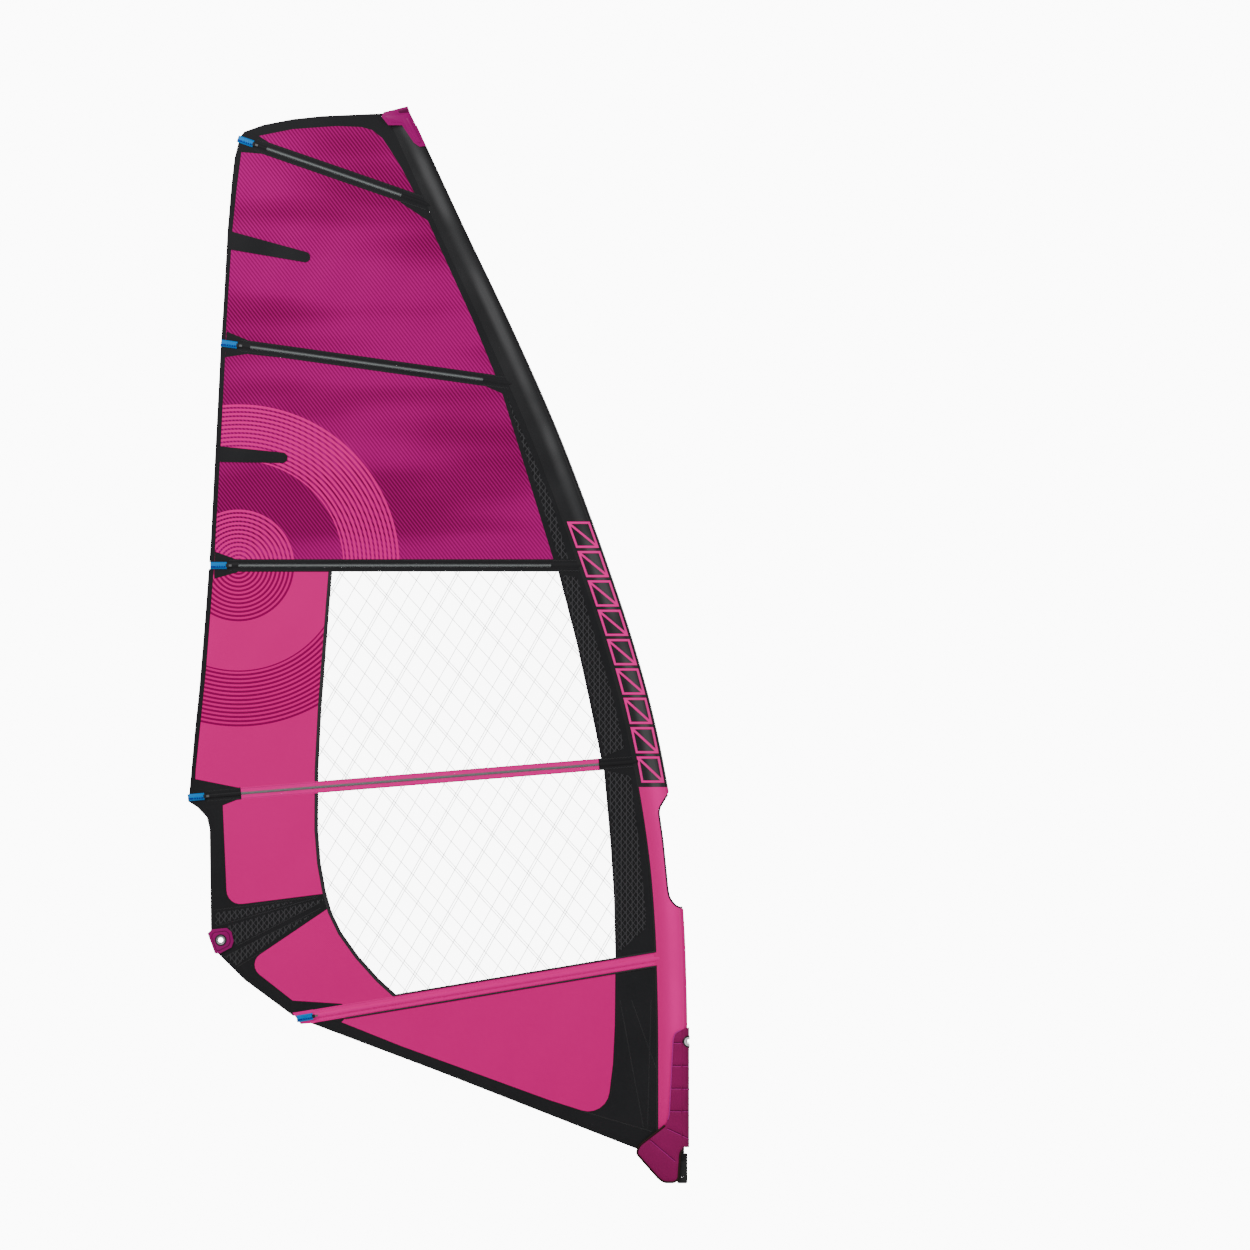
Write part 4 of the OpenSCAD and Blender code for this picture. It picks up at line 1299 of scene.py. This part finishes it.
def add_threads(node):
    """The crossed threads of a window: every third one is doubled."""
    edges = rim_edges(node)
    low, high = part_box(node)
    centre = Vector(((low.x + high.x) / 2, (low.z + high.z) / 2))
    reach = (high - low).length / 2
    mesh = bmesh.new()
    for n, angle in enumerate(THREAD_ANGLES):
        direction = Vector((math.cos(math.radians(angle)), math.sin(math.radians(angle))))
        normal = Vector((-direction.y, direction.x))
        count = int(reach / THREAD_PITCH)
        for k in range(-count, count + 1):
            for offset in (0, THREAD_PAIR) if k % 3 == 0 else (0,):
                start = centre + normal * (k * THREAD_PITCH + offset)
                for first, last in clip_to(edges, start, direction):
                    if last - first > SHORTEST_THREAD:
                        ribbon(mesh, start + direction * first, start + direction * last,
                               THREAD_WIDTH, THREAD_HALF + 0.0001 * n)
    face_out(mesh)
    add_piece(node + "_threads", mesh, "window_thread", "sail")


def offset_line(points, amount):
    """A line moved sideways, given from the side."""
    result = []
    for k, point in enumerate(points):
        run = Vector(points[min(k + 1, len(points) - 1)]) - Vector(points[max(k - 1, 0)])
        across = Vector((-run.y, run.x)).normalized() * amount
        result.append((point[0] + across.x, point[1] + across.y))
    return result


TAPE_RADIUS = 0.0036
TAPE_SINK = 0.0006      # how deep the tape's middle line lies in the sleeve
TAPE_END = 0.002        # the tape ends this far behind the luff


def add_boom_binding():
    """The black tape round the edge of the boom cut-out, on both sides of the sleeve."""
    back = soft_corners(BOOM_CUT[1:8], 0.02)[1:-1]     # the slice drops the line that closes it
    line = along_line([Vector((x, 0, z)) for x, z in back], 0.008)
    for side, label in SIDES.items():
        points = []
        for point in line:
            behind = luff_value(point.z, 1) - point.x
            if behind < TAPE_END:
                continue
            half = sleeve_half(point.z, 0, 0, SEAM_HALF)
            a, b = next(pair for pair in zip(half, half[1:]) if pair[1][0] >= behind)
            share = (behind - a[0]) / (b[0] - a[0])
            across = a[1] + (b[1] - a[1]) * share
            points.append(Vector((point.x, side * (across - TAPE_SINK), point.z)))
        add_tube(f"boom_cut_binding_{label}", points, TAPE_RADIUS, "tape", "sail")


SEAM_STITCH = 0.0045    # from the window seam's middle line to its stitches
POCKET_STITCH = 0.004   # from a pocket's edge to its stitches


def add_details():
    add_patch("scrim_strips", SCRIM, "black_scrim")
    add_patch("leech_wedges", WEDGES, "black_cloth")
    add_patch("pocket_5_end", (POCKET_END,), "pink_cloth")
    for node in ("upper_window", "lower_window"):
        add_threads(node)
    seam_lines = [offset_line(SEAM, off) for off in (SEAM_STITCH, -SEAM_STITCH)]
    add_stitches("window_seam_stitches", seam_lines, "stitch", 0.0008)
    add_stitches("tack_stitches", TACK_SEAMS, "stitch", 0.0008)
    add_stitches("clew_stitches", CLEW_SEAMS, "stitch", 0.0010)
    pocket_lines = []
    for i, batten in enumerate(BATTENS):
        width = batten[4]
        for side in SIDES:
            ends = (HOUSING + 0.01, batten_length(i) - LUFF_GAP)
            points = [on_batten(i, s, side * (width / 2 - POCKET_STITCH)) for s in ends]
            pocket_lines.append([(p.x, p.z) for p in points])
    add_stitches("pocket_stitches", pocket_lines[:8], "stitch", MARGIN)
    add_stitches("pocket_5_stitches", pocket_lines[8:], "pink_stitch", MARGIN)
    add_boom_binding()
    add_pocket_edges()


# ---- CAD nodes that are shown as they are ----

CAD_MATERIALS = {
    "batten": "batten_rod", "mini_batten": "batten_rod", "tensioner_screw": "steel",
    "block": "black_plastic", "sheave": "grey_plastic",
}


def paint_cad():
    for name, node in NODES.items():
        if node.hide_render:
            continue
        key = next(k for k in CAD_MATERIALS if name.startswith(k))
        node.data.materials.clear()
        node.data.materials.append(MATERIALS[CAD_MATERIALS[key]])


CLOTHS = (      # look, material slot, nodes
    ("magenta_film", "magenta_film", "head_panel upper_panel mid_panel"),
    ("window_film", "window_film", "upper_window lower_window"),
    ("pink_film", "pink_film", "upper_leech_panel lower_leech_panel clew_panel foot_panel"),
    ("black_cloth", "black_cloth", "head_band leech_band_upper leech_band_mid leech_band_lower"),
    ("black_cloth", "black_scrim", "clew_reinforcement"),
    ("black_cloth", "black_cloth", "foot_band tack_panel"),
    ("tape", "black_cloth", "window_seam"),
    ("black_cloth", "black_scrim",
     "luff_panel_upper luff_panel_mid luff_panel_window luff_panel_boom"),
    ("black_cloth", "black_cloth", "mini_batten_pockets"),
)

make_camera()
make_light()
for make in (make_black_cloth, make_black_scrim, make_pink_cloth, make_pink_film,
             make_magenta_film, make_window_film, make_clear_pocket, make_tape, make_batten_rod,
             make_plain_materials, make_plum_padding, make_eyelet, make_steel,
             make_sleeve_cloth):
    make()
make_floor()
for look, slot, nodes in CLOTHS:
    for node in nodes.split():
        add_cloth(node, look)
add_sleeves()
for i in range(len(BATTENS)):
    add_pocket(i)
add_details()
add_head_cap()
add_clew()
add_tensioners()
add_fairing()
for node, material, slot, edge in (
        ("block_body", "black_plastic", "black_plastic", 0.0018),
        ("tack_webbing", "tape", "black_webbing", 0.0008),
        ("tack_eyelet", "eyelet", "eyelet_white", 0.0006)):
    add_moulding(node, material, edge, "tack_block" if node == "block_body" else "sail")
paint_cad()
